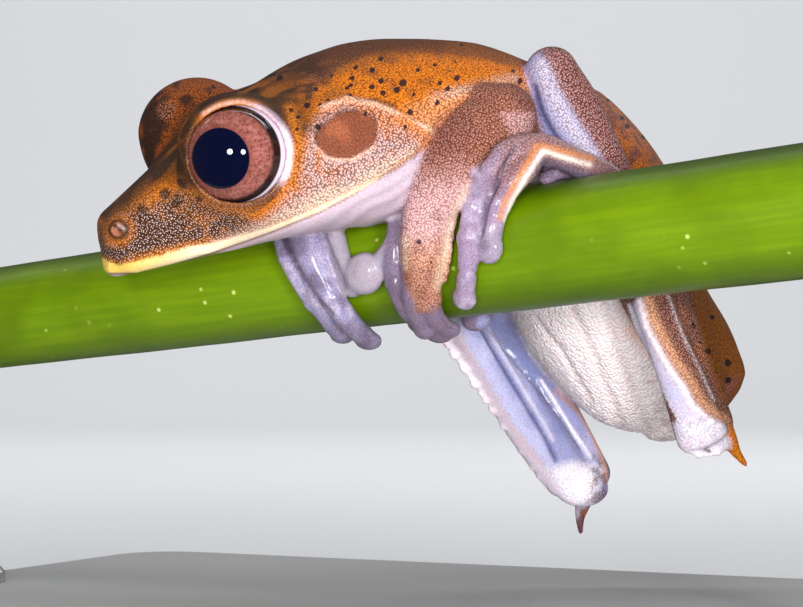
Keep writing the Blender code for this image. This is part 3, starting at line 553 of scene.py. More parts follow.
OPENING_WAY = (-0.105, 0.983, 0.152)

head_turn = (Matrix.Rotation(math.radians(HEAD_YAW), 3, "Z")
             @ Matrix.Rotation(math.radians(-HEAD_PITCH), 3, "Y")
             @ Matrix.Rotation(math.radians(HEAD_ROLL), 3, "X"))
head_back = head_turn @ Vector((1.0, 0.0, 0.0))
head_side = head_turn @ Vector((0.0, 1.0, 0.0))
head_up = head_turn @ Vector((0.0, 0.0, 1.0))
forms = []
coats = []


def in_head(back, side, up):
    """A point of the head: back from the snout, side away from the viewer, up from the mouth."""
    return SNOUT + head_turn @ Vector((back, side, up - MOUTH_BELOW_SNOUT))


def add_form(maker, part):
    """Keep a form of the flesh, marked with the number of its coat, for the skin to be fused from."""
    layer = maker.verts.layers.int.new("part")
    for vert in maker.verts:
        vert[layer] = part
    mesh = bpy.data.meshes.new("form")
    maker.to_mesh(mesh)
    maker.free()
    form = bpy.data.objects.new("form", mesh)
    studio.collection.objects.link(form)
    forms.append(form)
    return form


def new_coat(paint):
    """A coat colours and carves the skin on the forms that carry its number."""
    coats.append(paint)
    return len(coats) - 1


def ball(centre, size, turn=Matrix.Identity(3), level=3):
    maker = bmesh.new()
    maker.verts.layers.float_vector.new("spot")
    bmesh.ops.create_icosphere(maker, subdivisions=level, radius=1.0)
    for vert in maker.verts:
        vert.co = Vector(centre) + turn @ Vector(a * b for a, b in zip(vert.co, size))
    return maker


def swell(maker, centre, reach, push):
    """Push the surface near a point along a vector, fading to nothing at the reach."""
    for vert in maker.verts:
        near = 1.0 - min(1.0, (vert.co - centre).length / reach) ** 2
        vert.co += push * near * near


def shape_with(thing, operation, tools):
    """Cut or join closed tools, which are used up."""
    group = bpy.data.collections.new("tools")
    for tool in tools:
        group.objects.link(tool)
    studio.collection.children.link(group)
    work = thing.modifiers.new("work", "BOOLEAN")
    work.operation = operation
    work.operand_type = "COLLECTION"
    work.collection = group
    work.solver = "MANIFOLD"
    fix(thing)
    for tool in tools:
        bpy.data.objects.remove(tool, do_unlink=True)
    bpy.data.collections.remove(group)


def fix(thing):
    """Replace the mesh by what its modifiers make of it."""
    graph = bpy.context.evaluated_depsgraph_get()
    mesh = bpy.data.meshes.new_from_object(thing.evaluated_get(graph))
    thing.modifiers.clear()
    thing.data = mesh


def new_tool(maker):
    mesh = bpy.data.meshes.new("tool")
    maker.to_mesh(mesh)
    maker.free()
    return bpy.data.objects.new("tool", mesh)


def body_stations():
    stations = []
    for back, wide, top, under, middle, top_power, under_power in HEAD_SHAPE:
        stations.append((in_head(back, 0, middle), head_back, head_up, wide, top - middle, middle - under,
                         top_power, under_power))
    centres = [stations[-1][0]] + [Vector(row[0]) for row in TRUNK_SHAPE]
    for i, (centre, up, wide, top, under) in enumerate(TRUNK_SHAPE):
        axis = (centres[min(i + 2, len(centres) - 1)] - centres[i]).normalized()
        stations.append((Vector(centre), axis, Vector(up), wide, top, under, 2.05, 2.05))
    return stations


def eye_centre(side):
    return in_head(EYE_PLACE[0], side * EYE_PLACE[1], EYE_PLACE[2])


def eye_way(way, side):
    """A direction given for the eye on the side away from the viewer, or its mirror image."""
    return (head_turn @ Vector((way[0], side * way[1], way[2]))).normalized()


BODY_SIDES = 112
BODY_STEPS = 7
BODY_END = 2.4
body_maker = loft(body_stations(), BODY_SIDES, BODY_STEPS, end_dome=BODY_END)
body_rings = np.array(rings_of(body_stations(), BODY_STEPS, 0.0, BODY_END))
for place, reach, push in TRUNK_SWELLS:
    swell(body_maker, Vector(place), reach, Vector(push))
for back, up, reach, push in TIP_SWELLS:
    swell(body_maker, in_head(back, 0.0, up), reach, head_back * push)
lid_tools = []
opening_tools = []
for side in (-1, 1):
    outward = head_side * side * OUTWARD[0] + head_up * OUTWARD[1]
    swell(body_maker, eye_centre(side), LID_SWELL_REACH, outward * LID_SWELL)
    for back, out, up, reach, push, aside in SIDE_SWELLS:
        swell(body_maker, in_head(back, side * out, up), reach, outward * push + head_side * side * aside)
    brow = in_head(BROW_BACK[side], side * BROW_OUT, BROW_HEIGHT[side])
    lid_tools.append(new_tool(ball(eye_centre(side), (LID_RADIUS,) * 3, level=5)))
    lid_tools.append(new_tool(ball(brow, BROW_SIZE, head_turn, 5)))
    opening_axis = eye_way(OPENING_WAY, side)
    opening = []
    for reach in (0.4, 3.2, 6.5):
        spread = reach * math.tan(math.radians(OPENING_ANGLE))
        opening.append((eye_centre(side) + opening_axis * reach, opening_axis, head_up, spread * 1.03,
                        spread, spread * 0.97, 2, 2))
    opening_tools.append(new_tool(loft(opening, 64, 2)))
    opening_tools.append(new_tool(ball(eye_centre(side), (EYE_RADIUS + EYE_GAP,) * 3, level=5)))


def hashed(cell, seed):
    """A number from 0 to 1 for each whole cell."""
    mixed = (cell[:, 0] * 73856093) ^ (cell[:, 1] * 19349663)
    mixed = mixed ^ (cell[:, 2] * 83492791) ^ (seed * 2654435761)
    mixed = (mixed ^ (mixed >> 13)) * 1274126177
    return ((mixed ^ (mixed >> 16)) & 65535) / 65535.0


def blotches(place, size, seed=0):
    """Smooth noise from 0 to 1 at places in millimetres, with blotches of about the size."""
    cell = place / size + seed * 17.31
    low = np.floor(cell).astype(np.int64)
    share = cell - low
    share = share * share * (3 - 2 * share)
    total = np.zeros(len(place))
    for corner in range(8):
        step = np.array([corner & 1, corner >> 1 & 1, corner >> 2 & 1])
        weight = np.prod(np.where(step, share, 1 - share), axis=1)
        total += weight * hashed(low + step, seed)
    return total


def pebbles(place, size, seed):
    """Domes of about the size that crowd each other, from 0 in the creases to 1 on top."""
    cell = place / size
    low = np.floor(cell).astype(np.int64)
    nearest = np.full(len(place), 9.0)
    for step in np.ndindex(3, 3, 3):
        other = low + np.array(step) - 1
        strayed = np.stack([2 * hashed(other, seed + k) - 1 for k in (1, 2, 3)], axis=1)
        centre = other + 0.5 + 0.42 * strayed
        nearest = np.minimum(nearest, np.linalg.norm(cell - centre, axis=1))
    return np.clip(1 - (nearest / 0.75) ** 2, 0, 1)


def rise(value, low, high):
    """A soft step from 0 at low to 1 at high, or from 1 down to 0 where high is the lower."""
    share = np.clip((value - low) / (high - low), 0, 1)
    return share * share * (3 - 2 * share)


def near(value, middle, width):
    """A soft band round a middle."""
    return np.exp(-((value - middle) / width) ** 2)


def blended(first, second, share):
    """Colours between two, each one colour or one for each place."""
    share = np.asarray(share)[..., None]
    return np.asarray(first) * (1 - share) + np.asarray(second) * share


def in_frame(place):
    """Where places show in the camera's frame, in its pixels."""
    scale = FRAME_WIDTH / VIEW_WIDTH * VIEW_DISTANCE / (VIEW_DISTANCE + place[:, 1])
    return FRAME_WIDTH / 2 + place[:, 0] * scale, FRAME_HEIGHT / 2 - place[:, 2] * scale


class Hide:
    """A share of the skin while it is coloured and carved.

    x and y are where a place shows in the camera's frame, so marks can be drawn as they are seen.
    """

    def __init__(self, place, spot, facing, seen_from, near_side):
        self.place = place
        self.spot = spot
        self.facing = facing
        self.near_side = near_side
        self.x, self.y = in_frame(seen_from)
        self.tint = np.ones((len(place), 3))
        self.mark = np.zeros(len(place))
        self.grain = np.full(len(place), 0.5)
        self.stipple = np.full(len(place), 0.4)
        self.wet = np.full(len(place), 0.2)
        self.pebble = np.zeros(len(place))
        self.relief = np.zeros(len(place))

    def lay(self, shade, share=1.0, **traits):
        """Colour a share of the hide, and give it traits: grain, stipple, wet or pebble."""
        share = np.broadcast_to(share, len(self.place))
        self.tint = blended(self.tint, shade, share)
        for key, value in traits.items():
            setattr(self, key, getattr(self, key) * (1 - share) + value * share)

    def trace(self, points):
        """How far each place is from a drawn line and how far along it, in the frame's pixels."""
        best = np.full(len(self.x), 1e9)
        along = np.zeros(len(self.x))
        done = 0.0
        for (ax, ay), (bx, by) in zip(points, points[1:]):
            length = math.hypot(bx - ax, by - ay)
            run = ((self.x - ax) * (bx - ax) + (self.y - ay) * (by - ay)) / length ** 2
            run = np.clip(run, 0, 1)
            away = np.hypot(self.x - ax - run * (bx - ax), self.y - ay - run * (by - ay))
            along = np.where(away < best, done + run * length, along)
            best = np.minimum(best, away)
            done += length
        return best, along

    def line(self, width, *points):
        """1 on a drawn line, fading to nothing past its half width."""
        return np.exp(-(self.trace(points)[0] / width) ** 2)

    def beads(self, width, pitch, *points):
        """A drawn line that swells into beads."""
        away, along = self.trace(points)
        bead = 0.5 + 0.5 * np.cos(2 * math.pi * along / pitch)
        return np.exp(-(away / width) ** 2) * (0.25 + 0.75 * bead)

    def area(self, soft, *points):
        """1 inside a drawn outline and 0 outside, with a soft edge."""
        inside = np.zeros(len(self.x), dtype=bool)
        loop = points + points[:1]
        for (ax, ay), (bx, by) in zip(loop, loop[1:]):
            crossed = (ay > self.y) != (by > self.y)
            edge = ax + (self.y - ay) * (bx - ax) / (by - ay if by != ay else 1e-9)
            inside ^= crossed & (self.x < edge)
        away = self.trace(loop)[0]
        return rise(np.where(inside, away, -away), -soft, soft)

    def dots(self, *spots):
        """0.5 on the edge of round spots, more inside."""
        best = np.zeros(len(self.x))
        for x, y, radius in spots:
            best = np.maximum(best, 0.5 ** (((self.x - x) ** 2 + (self.y - y) ** 2) / radius ** 2))
        return best


BACK_ORANGE = (0.78, 0.215, 0.008)
BACK_BROWN = (0.150, 0.052, 0.020)
BACK_DARK = (0.042, 0.018, 0.011)
CROWN_OLIVE_AND_SHADE = (0.062, 0.026, 0.006)
CANTHUS_ORANGE = (0.62, 0.185, 0.008)
LOREAL_BROWN = (0.100, 0.036, 0.010)
CHEEK_PINK = (0.66, 0.38, 0.34)
LIP_CREAM = (0.94, 0.77, 0.54)
LIP_GOLD = (1.0, 0.70, 0.15)
JAW_PINK = (0.54, 0.43, 0.48)
THROAT_LILAC = (0.56, 0.46, 0.55)
BELLY_WHITE = (0.90, 0.84, 0.86)
FLANK_GREY = (0.42, 0.27, 0.25)
FLANK_LILAC = (0.42, 0.34, 0.40)
DRUM_BROWN = (0.23, 0.068, 0.032)
DRUM_RED = (0.37, 0.108, 0.048)
FOLD_PINK = (0.90, 0.56, 0.40)
LID_GREY = (0.46, 0.36, 0.48)
CRESCENT_WHITE = (0.80, 0.64, 0.70)
NOSTRIL_PINK = (0.42, 0.17, 0.10)
NOSTRIL_DARK = (0.02, 0.007, 0.007)
FAR_LID_RED = (0.33, 0.080, 0.010)
NOSTRIL_HIGHLIGHT = (0.80, 0.70, 0.74)
GLINT_PINK = (0.88, 0.60, 0.60)
MOUTH_LINE = (0.25, 0.12, 0.10)
ARM_BROWN = (0.25, 0.080, 0.058)
ARM_WARM = (0.34, 0.115, 0.055)
RUMP_OLIVE = (0.27, 0.085, 0.004)
LIP_TOP = ((90, 252), (104, 259), (119, 265), (159, 256), (188, 247), (222, 240.5), (261, 229.5), (290, 219),
           (320, 206), (350, 192), (372, 180), (395, 166), (418, 150), (440, 132))
MOUTH = ((90, 268), (110, 275), (137, 275), (173, 266), (210, 255.5), (246, 243), (276, 232), (320, 212.5),
         (350, 197), (372, 184), (395, 170), (418, 154), (440, 136))
EYE_SEEN = (239, 155.5)
NOSTRIL_SEEN = (118.5, 229.5)
BACK_SPOTS = (
    (461, 45, 1.4), (381, 59, 2.4), (455, 62, 1.8), (435, 65, 1.8), (356, 67, 2.8), (372, 70, 2.6),
    (418, 70, 2.2), (513, 71, 2.1), (332, 76, 1.9), (352, 78, 2.5), (457, 78, 2.6), (483, 79, 2.0),
    (520, 81, 2.6), (381, 81, 2.6), (403, 83, 3.4), (440, 83, 2.4), (351, 85, 1.9), (468, 86, 2.0),
    (372, 87, 2.5), (347, 88, 2.0), (448, 89, 2.9), (494, 88, 1.8), (316, 89, 2.1), (397, 90, 3.1),
    (383, 93, 2.6), (414, 94, 2.1), (350, 95, 2.1), (328, 100, 1.9), (390, 102, 2.0), (437, 103, 2.6),
    (307, 105, 2.8), (320, 105, 2.0), (291, 110, 1.9), (410, 112, 3.0), (366, 114, 2.1), (298, 117, 1.9),
    (318, 127, 2.6), (405, 127, 2.1), (297, 129, 1.9), (622, 118, 2.2), (627, 126, 2.5), (643, 137, 2.2),
    (608, 100, 1.9), (596, 84, 1.7), (693, 325, 2.2), (708, 352, 2.8), (728, 363, 3.3), (728, 380, 2.9),
    (712, 317, 2.2), (700, 343, 1.9), (716, 372, 1.6),
    (252, 82, 2.6), (263, 74, 2.0), (236, 92, 2.0), (280, 78, 3.0),
)


def head_places(place):
    """Places in the head's own directions: back, side, up from the mouth."""
    local = (place - np.array(SNOUT)) @ np.array(head_turn)
    local[:, 2] += MOUTH_BELOW_SNOUT
    return local.T


def on_viewer_side(place, spot):
    """Body places, with those of the far side mirrored, and which ones are on the near side."""
    ring = spot[:, 0] * (len(body_rings) - 1)
    rows = np.arange(len(body_rings))
    side_ways = np.cross(body_rings[:, 3:6], body_rings[:, 6:9])
    side_ways /= np.linalg.norm(side_ways, axis=1)[:, None]
    middle = np.stack([np.interp(ring, rows, body_rings[:, k]) for k in range(3)], axis=1)
    side_way = np.stack([np.interp(ring, rows, side_ways[:, k]) for k in range(3)], axis=1)
    out = ((place - middle) * side_way).sum(axis=1)
    return place - side_way * (2 * np.minimum(out, 0))[:, None], out > 0


def seen_at(place, middle):
    """How far places show from a point of the camera's frame, also those of the far side."""
    x, y = in_frame(place)
    return np.hypot(x - middle[0], y - middle[1])


def back_marks(hide, back, up, turn, wander, fine):
    """Orange, browner along spine and top, dark on the nape, olive on the crown partly in painted shade."""
    place, x, y = hide.place, hide.x, hide.y
    broad = blotches(place, 4.6, 2)
    hide.lay(BACK_ORANGE, 1.0, grain=0.10, stipple=0.75, wet=0.15)
    hide.lay(BACK_BROWN, rise(turn + 22 * (wander - 0.5), 34, 20) * 0.85, grain=0.35, stipple=0.7)
    hide.lay(BACK_BROWN, rise(0.6 * broad + 0.4 * fine, 0.5, 0.72) * 0.55, grain=0.3)
    top = np.interp(x, (270, 300, 334, 415, 477, 515, 530), (72, 66, 58, 53, 57, 67, 76))
    strip = rise(y + 8 * (wander - 0.5), top + 5, top - 3) * rise(x, 250, 290) * rise(x, 560, 540)
    hide.lay(BACK_BROWN, strip * 0.75, grain=0.2)
    nape = hide.area(14, (205, 92), (262, 66), (310, 52), (328, 66), (318, 100), (300, 122), (285, 115),
                     (240, 95))
    hide.lay(BACK_DARK, nape * rise(0.5 * wander + 0.5 * fine, 0.40, 0.56) * 0.8, grain=0.2)
    crown = rise(up, 5.2, 6.6) * rise(back, 19.0, 15.0)
    # The crown's olive is its own colour, darkened partly as painted shade on the head's top.
    hide.lay(CROWN_OLIVE_AND_SHADE, crown, grain=0.16, stipple=0.55)
    hide.lay(CANTHUS_ORANGE, crown * rise(wander, 0.52, 0.72) * 0.75)
    hide.lay(BACK_DARK, crown * rise(blotches(place, 1.5, 8), 0.58, 0.72) * 0.7)
    flank = hide.area(8, (405, 108), (450, 88), (530, 72), (540, 120), (445, 140), (420, 128))
    hide.lay(FOLD_PINK, flank * 0.25, grain=0.9)


def snout_marks(hide, back, up, wander, fine):
    """Brown, pale granule tips as painted highlights, dark blotches, an olive bridge partly in painted
    shade.
    """
    snout = rise(back, 11.5, 9.0) * rise(up, 5.4, 4.6)
    hide.lay(CANTHUS_ORANGE, snout, grain=0.6, stipple=0.7)
    loreal = hide.area(6, (124, 214), (150, 207), (178, 192), (205, 204), (236, 214), (262, 224), (232, 236),
                       (190, 242), (150, 252), (118, 262), (100, 255), (98, 240), (108, 246), (124, 246))
    hide.lay(LOREAL_BROWN, loreal * (0.72 + 0.28 * rise(wander, 0.2, 0.5)), grain=1.0, stipple=0.7)
    hide.lay(CANTHUS_ORANGE, loreal * rise(fine, 0.55, 0.75) * 0.45)
    blots = hide.dots((183, 184, 5.0), (165, 194, 4.6), (142, 209, 4.4), (176, 203, 4.0), (199, 199, 3.4))
    hide.lay(BACK_DARK, rise(blots + 0.5 * (fine - 0.5), 0.40, 0.60) * 0.85, grain=0.3)
    bridge = hide.area(7, (92, 216), (150, 160), (182, 140), (186, 166), (150, 194), (126, 212), (108, 222))
    # The bridge's olive is darkened partly as painted shade, like the crown's.
    hide.lay(CROWN_OLIVE_AND_SHADE, bridge * (0.45 + 0.5 * rise(wander, 0.6, 0.4)), grain=0.3)
    tip = hide.area(5, (90, 215), (105, 222), (104, 262), (90, 262))
    hide.lay(BACK_DARK, tip * rise(wander + fine, 0.7, 1.1) * 0.75)


def cheek_marks(hide, wander, fine):
    """Pink, with pale granule tips as painted highlights, mottled with orange."""
    x, y = hide.x, hide.y
    cheek = hide.area(9, (262, 222), (278, 208), (296, 185), (303, 150), (318, 118), (345, 104), (375, 110),
                      (400, 126), (424, 138), (418, 154), (372, 182), (320, 208), (250, 236), (215, 243))
    hide.lay(CHEEK_PINK, cheek, grain=0.9, stipple=0.85)
    orange = rise(0.6 * wander + 0.4 * fine, 0.42, 0.60) * rise(y + 0.25 * x, 290, 240)
    hide.lay(BACK_ORANGE, cheek * orange * 0.8)
    hide.lay(LIP_CREAM, cheek * rise(y + 0.45 * x, 324, 350) * 0.6, grain=0.5, stipple=0.5)
    hide.lay(CANTHUS_ORANGE, hide.line(6, (290, 108), (301, 150), (294, 186)) * 0.8, grain=0.35)
    lilac = hide.line(14, (345, 176), (375, 158), (400, 140)) * rise(wander, 0.35, 0.6)
    hide.lay(FLANK_LILAC, cheek * lilac * 0.5)


def drum_marks(hide, wander, fine):
    """A smooth ear drum under a granular fold, and the ridge behind it."""
    x, y = hide.x, hide.y
    fold = hide.line(3.0, (322, 108), (346, 99), (374, 104), (393, 112), (412, 121), (432, 131))
    hide.lay(FOLD_PINK, fold * (0.45 + 0.45 * rise(fine, 0.3, 0.6)), grain=0.9, stipple=0.4)
    hide.relief += 0.24 * fold
    shadow = hide.line(2.2, (356, 100), (385, 101), (404, 109), (420, 120))
    hide.lay(BACK_DARK, shadow * rise(fine, 0.45, 0.6) * 0.7)
    ridge = hide.line(5.0, (433, 99), (468, 90), (515, 78))
    hide.lay(FOLD_PINK, ridge * (0.3 + 0.5 * rise(fine, 0.35, 0.65)), grain=1.0)
    hide.relief += 0.16 * ridge
    drum = np.hypot((x - 348 + 0.16 * (y - 134)) / 29.0, (y - 134 + 0.10 * (x - 348)) / 22.5)
    drum = drum + 0.20 * (fine - 0.5) + 0.22 * (wander - 0.5)
    on_drum = rise(drum, 1.03, 0.97)
    hide.lay(blended(DRUM_BROWN, DRUM_RED, rise(0.5 * fine + 0.5 * wander, 0.35, 0.65)), on_drum,
             grain=0.12, stipple=0.35, wet=0.3)
    hide.lay(BACK_DARK, near(drum, 1.02, 0.07) * rise(134 - y + 0.4 * (348 - x), -8, 8) * 0.75)
    hide.lay(FOLD_PINK, near(drum, 1.08, 0.05) * rise(y, 140, 152), grain=0.2, stipple=0.0)
    hide.relief += 0.07 * near(drum, 1.08, 0.09) - 0.08 * near(drum, 0.97, 0.08)
    hide.relief -= 0.05 * rise(drum, 0.9, 0.5)


def lid_marks(hide, side, lid_reach, fine):
    """Lids: orange rim above, lilac grey and white behind, blotches on the far one."""
    place, x, y = hide.place, hide.x, hide.y
    from_eye = np.hypot(x - EYE_SEEN[0], y - EYE_SEEN[1])
    around = np.degrees(np.arctan2(EYE_SEEN[1] - y, x - EYE_SEEN[0]))
    rim = rise(from_eye, 60, 55) * rise(lid_reach, 5.3, 4.7)
    hide.lay(CANTHUS_ORANGE, rim * rise(np.abs(around - 100), 50, 25) * 0.9, grain=0.3, stipple=0.2, wet=0.8)
    hide.lay(LID_GREY, rim * rise(from_eye, 57.5, 54) * rise(np.abs(around - 40), 45, 25) * 0.8,
             grain=0.2, stipple=0.1, wet=0.9)
    glints = hide.beads(2.2, 6.0, (204, 113), (218, 105), (240, 101), (256, 106), (271, 117), (283, 134))
    hide.lay(GLINT_PINK, glints * rise(lid_reach, 5.4, 4.8) * 0.8, grain=0.1, stipple=0.0)
    crescent = rise(from_eye, 56, 52.5) * rise(lid_reach, 5.2, 4.8) * rise(np.abs(around), 46, 22)
    hide.lay(CRESCENT_WHITE, crescent, grain=0.05, stipple=0.0, wet=0.8)
    from_far_eye = np.linalg.norm(place - np.array(eye_centre(1)), axis=1)
    far_lid = rise(side, 1.5, 3.0) * rise(from_far_eye, 6.4, 5.6)
    lid_dark = 0.55 * blotches(place, 1.1, 21) + 0.45 * fine + 0.003 * (190 - x)
    hide.lay(blended(FAR_LID_RED, BACK_DARK, rise(lid_dark, 0.42, 0.62)), far_lid, grain=0.15, stipple=0.8)
    for middle, across in (((164, 126), 7), ((190, 99), 6), ((177, 86), 5), ((209, 89), 4)):
        blotch = rise(seen_at(place, middle) + 5 * (fine - 0.5), across, across - 3)
        hide.lay(BACK_DARK, far_lid * blotch * 0.85)
    hide.lay(FAR_LID_RED, far_lid * rise(seen_at(place, (166, 110)), 12, 7) * 0.6, grain=1.0)
    inner_rim = rise(from_eye, 53.5, 51) * rise(lid_reach, 5.0, 4.6)
    hide.lay(BACK_BROWN, inner_rim * rise(np.abs(around + 110), 85, 60) * 0.85,
             grain=0.5, stipple=0.3, wet=0.8)
    hide.lay(BACK_DARK, rim * rise(np.abs(np.abs(around) - 180), 42, 24) * 0.6, grain=0.35, stipple=0.6)


def nostril_marks(hide):
    """A dark ring round a pink swelling with a slit, darkened as painted shade and edged with a painted
    highlight.
    """
    x, y = hide.x, hide.y
    hole = np.hypot(x - NOSTRIL_SEEN[0], y - NOSTRIL_SEEN[1])
    hide.lay(CANTHUS_ORANGE, near(hole, 14, 4.5) * rise(x + y, 335, 350) * 0.6, grain=0.5)
    hide.lay(BACK_DARK, near(hole, 8.2, 2.8), grain=0.0, stipple=0.3)
    hide.lay(NOSTRIL_PINK, rise(hole, 7.0, 5.0), grain=0.1, stipple=0.1, wet=0.9)
    # Painted shade in the carved slit, and a painted highlight along its edge.
    hide.lay(NOSTRIL_DARK, hide.line(1.7, (114, 226), (121, 233)) * rise(hole, 8.5, 6))
    hide.lay(NOSTRIL_HIGHLIGHT, hide.line(1.5, (119, 226), (124, 229)) * 0.8)
    slit = hide.line(2.6, (115, 227), (121, 232)) * rise(hole, 8.5, 5)
    hide.relief += 0.13 * near(hole, 6.5, 3.0) - 0.36 * slit


def mouth_marks(hide, back, turn, wander, fine):
    """A cream lip, golden at the tip, the mouth line, and a lilac jaw and throat."""
    x, y = hide.x, hide.y
    lip_top = np.interp(x, *np.transpose(LIP_TOP)) + 1.5 * (fine - 0.5)
    mouth = np.interp(x, *np.transpose(MOUTH))
    low = rise(back, 31.0, 28.0) * rise(turn, 40, 60)
    lip = rise(y, lip_top - 1.2, lip_top + 1.2) * rise(x, 392, 372) * low
    hide.lay(blended(LIP_GOLD, LIP_CREAM, rise(x + 1.5 * (y - lip_top), 120, 225)), lip,
             grain=0.08, stipple=0.06, wet=0.35)
    jaw = rise(y, mouth - 0.6, mouth + 0.8) * low
    hide.lay(blended(JAW_PINK, THROAT_LILAC, rise(x, 200, 330)), jaw, grain=0.12, stipple=0.1, wet=0.35)
    hide.lay(MOUTH_LINE, near(y, mouth + 0.4, 1.1) * low * rise(x, 375, 350) * 0.85, grain=0.0)
    hide.lay(BACK_BROWN, near(y, mouth - 1.5, 2.0) * low * rise(x, 355, 385) * rise(x, 432, 415) * 0.6)
    hide.relief -= 0.17 * near(y, mouth + 0.4, 1.9) * low * rise(x, 395, 360)
    wrinkles = np.sin(2.2 * (y - 0.62 * (430 - x)) / 5.0 + 3 * wander)
    hide.relief += 0.05 * wrinkles * jaw * rise(x, 300, 350) * rise(x, 440, 425)


def belly_marks(hide, back, turn, wander, fine):
    """White pebbles with lengthwise folds, greyed as painted shade. Gives the share of the hide that is
    belly.
    """
    place, y = hide.place, hide.y
    belly = rise(turn, 100 + 10 * (wander - 0.5), 122 + 10 * (wander - 0.5)) * rise(back, 22.0, 27.0)
    hide.lay(FLANK_GREY, near(turn, 104, 9) * 0.6 * rise(back, 30, 36), grain=0.6)
    hide.lay(BELLY_WHITE, belly, grain=0.0, stipple=0.0, wet=0.25, pebble=1.0)
    blush = hide.area(9, (628, 300), (646, 300), (672, 380), (684, 440), (660, 440), (645, 380)) * belly
    hide.lay(FLANK_GREY, blush * rise(fine, 0.3, 0.6) * 0.45)
    warts = belly * rise(back, 24, 30) * (0.45 + 0.55 * rise(y, 300, 340))
    hide.relief += 0.10 * warts * (pebbles(place, 0.54, 11) - 0.35)
    folds = (hide.line(4, (570, 305), (596, 360), (622, 425))
             + hide.line(4, (604, 305), (622, 360), (650, 432))
             + hide.line(3, (536, 320), (560, 350), (590, 400)))
    # The folds are carved, and greyed along them as painted shade.
    hide.relief -= 0.22 * folds * belly
    hide.lay(FLANK_GREY, folds * belly * 0.25)
    return belly


def rump_marks(hide, fine):
    """Olive orange beside the left heel, brown behind the knee. Gives the share of rump."""
    rump = hide.area(4, (672, 280), (715, 280), (760, 345), (760, 380), (722, 412), (696, 360))
    hide.lay(RUMP_OLIVE, rump, grain=0.12, stipple=0.7, pebble=0.0)
    hide.lay(ARM_BROWN, hide.area(5, (712, 375), (742, 378), (722, 410), (706, 392)))
    behind_knee = hide.area(5, (596, 84), (622, 104), (664, 166), (600, 166))
    hide.lay(ARM_BROWN, behind_knee * (0.35 + 0.6 * rise(fine, 0.6, 0.4)))
    return rump


def arm_marks(hide):
    """The upper arm, where it lies along the flank of the near side."""
    arm = hide.area(3, (431, 137), (450, 112), (479, 97), (517, 88), (532, 100), (545, 150), (470, 190),
                    (405, 200))
    hide.lay(ARM_BROWN, arm * hide.near_side, grain=0.45, stipple=0.7)
    crease = hide.line(3.0, (418, 160), (431, 136), (450, 111), (479, 95), (520, 86))
    hide.relief -= 0.3 * hide.near_side * crease


def body_coat(hide):
    """Orange brown above, white below, a cream lip, dark snout sides and a smooth ear drum."""
    place = hide.place
    back, side, up = head_places(place)
    turn = np.degrees(np.arctan2(np.abs(hide.spot[:, 1]), hide.spot[:, 2]))
    wander = blotches(place, 1.9, 1)
    fine = blotches(place, 0.7, 3)
    lid_reach = np.minimum(np.linalg.norm(place - np.array(eye_centre(-1)), axis=1),
                           np.linalg.norm(place - np.array(eye_centre(1)), axis=1))
    back_marks(hide, back, up, turn, wander, fine)
    snout_marks(hide, back, up, wander, fine)
    cheek_marks(hide, wander, fine)
    drum_marks(hide, wander, fine)
    lid_marks(hide, side, lid_reach, fine)
    nostril_marks(hide)
    mouth_marks(hide, back, turn, wander, fine)
    belly = belly_marks(hide, back, turn, wander, fine)
    rump = rump_marks(hide, fine)
    arm_marks(hide)
    hide.mark = hide.dots(*BACK_SPOTS) * (1 - belly * (1 - rump)) * rise(lid_reach, 4.4, 4.8)


BODY = new_coat(body_coat)
body = add_form(body_maker, BODY)
shape_with(body, "UNION", lid_tools)
shape_with(body, "DIFFERENCE", opening_tools)

# Arms and hands: short stout arms, brown above and peach at the wrist, whose long soft fingers
# with round pads lie over the stem and curl under it.
FRINGE_BUMP = 0.30
ARM_LEFT = {
    "upper": [Vector((3.4, -4.2, 13.6)), Vector((6.3, -5.4, 13.9)), Vector((7.9, -6.2, 14.3))],
    "upper_sizes": [(2.9, 2.6), (3.0, 2.6), (2.5, 2.4)],
    "fore": [Vector((7.8, -6.2, 14.0)), Vector((5.5, -7.2, 12.3)), Vector((3.5, -8.0, 9.8)), (5.6, 62, 2.0),
             (5.2, 84, 1.7)],
    "fore_sizes": [(2.5, 2.4), (3.1, 2.4), (2.75, 2.1), (2.0, 1.6), (1.8, 1.4)],
    "across": (0.72, 0.0, -0.7),
}
ARM_RIGHT = {
    "upper": [Vector((1.5, 11.5, 13.4)), Vector((-2.8, 13.0, 11.3)), Vector((-6.4, 14.2, 9.6))],
    "upper_sizes": [(2.7, 2.7), (3.0, 2.8), (2.8, 2.7)],
    "fore": [Vector((-6.4, 14.2, 9.6)), Vector((-6.5, 9.0, 9.0)), Vector((-6.4, 3.8, 8.4)), (-5.9, 38, 1.4)],
    "fore_sizes": [(2.4, 2.4), (2.4, 2.2), (1.9, 1.5), (1.6, 1.2)],
    "across": (0.9, 0.1, 0.1),
}


def joint(place):
    """A joint: along the stem, angle round it and height above it, or a free point."""
    return on_stem(*place) if isinstance(place, tuple) else place


def way_at(points, i):
    """The direction of a path at one of its points."""
    return (points[min(i + 1, len(points) - 1)] - points[max(i - 1, 0)]).normalized()


def limb(points, sizes, broad, sides=32, steps=10, domes=(1.0, 1.0)):
    """A limb through points: sizes are half width along the broad direction and half depth."""
    stations = []
    for i, point in enumerate(points):
        axis = way_at(points, i)
        wide_way = Vector(broad[i] if isinstance(broad, list) else broad)
        wide, deep = sizes[i]
        stations.append((point, axis, wide_way.cross(axis).normalized(), wide, deep, deep, 2, 2))
    return loft(stations, sides, steps, sizes[0][1] * domes[0], sizes[-1][1] * domes[1])


def turn_to(out, along):
    """A rotation that carries z to out and x near to along."""
    out = Vector(out).normalized()
    along = (along - out * along.dot(out)).normalized()
    return Matrix((along, out.cross(along), out)).transposed()


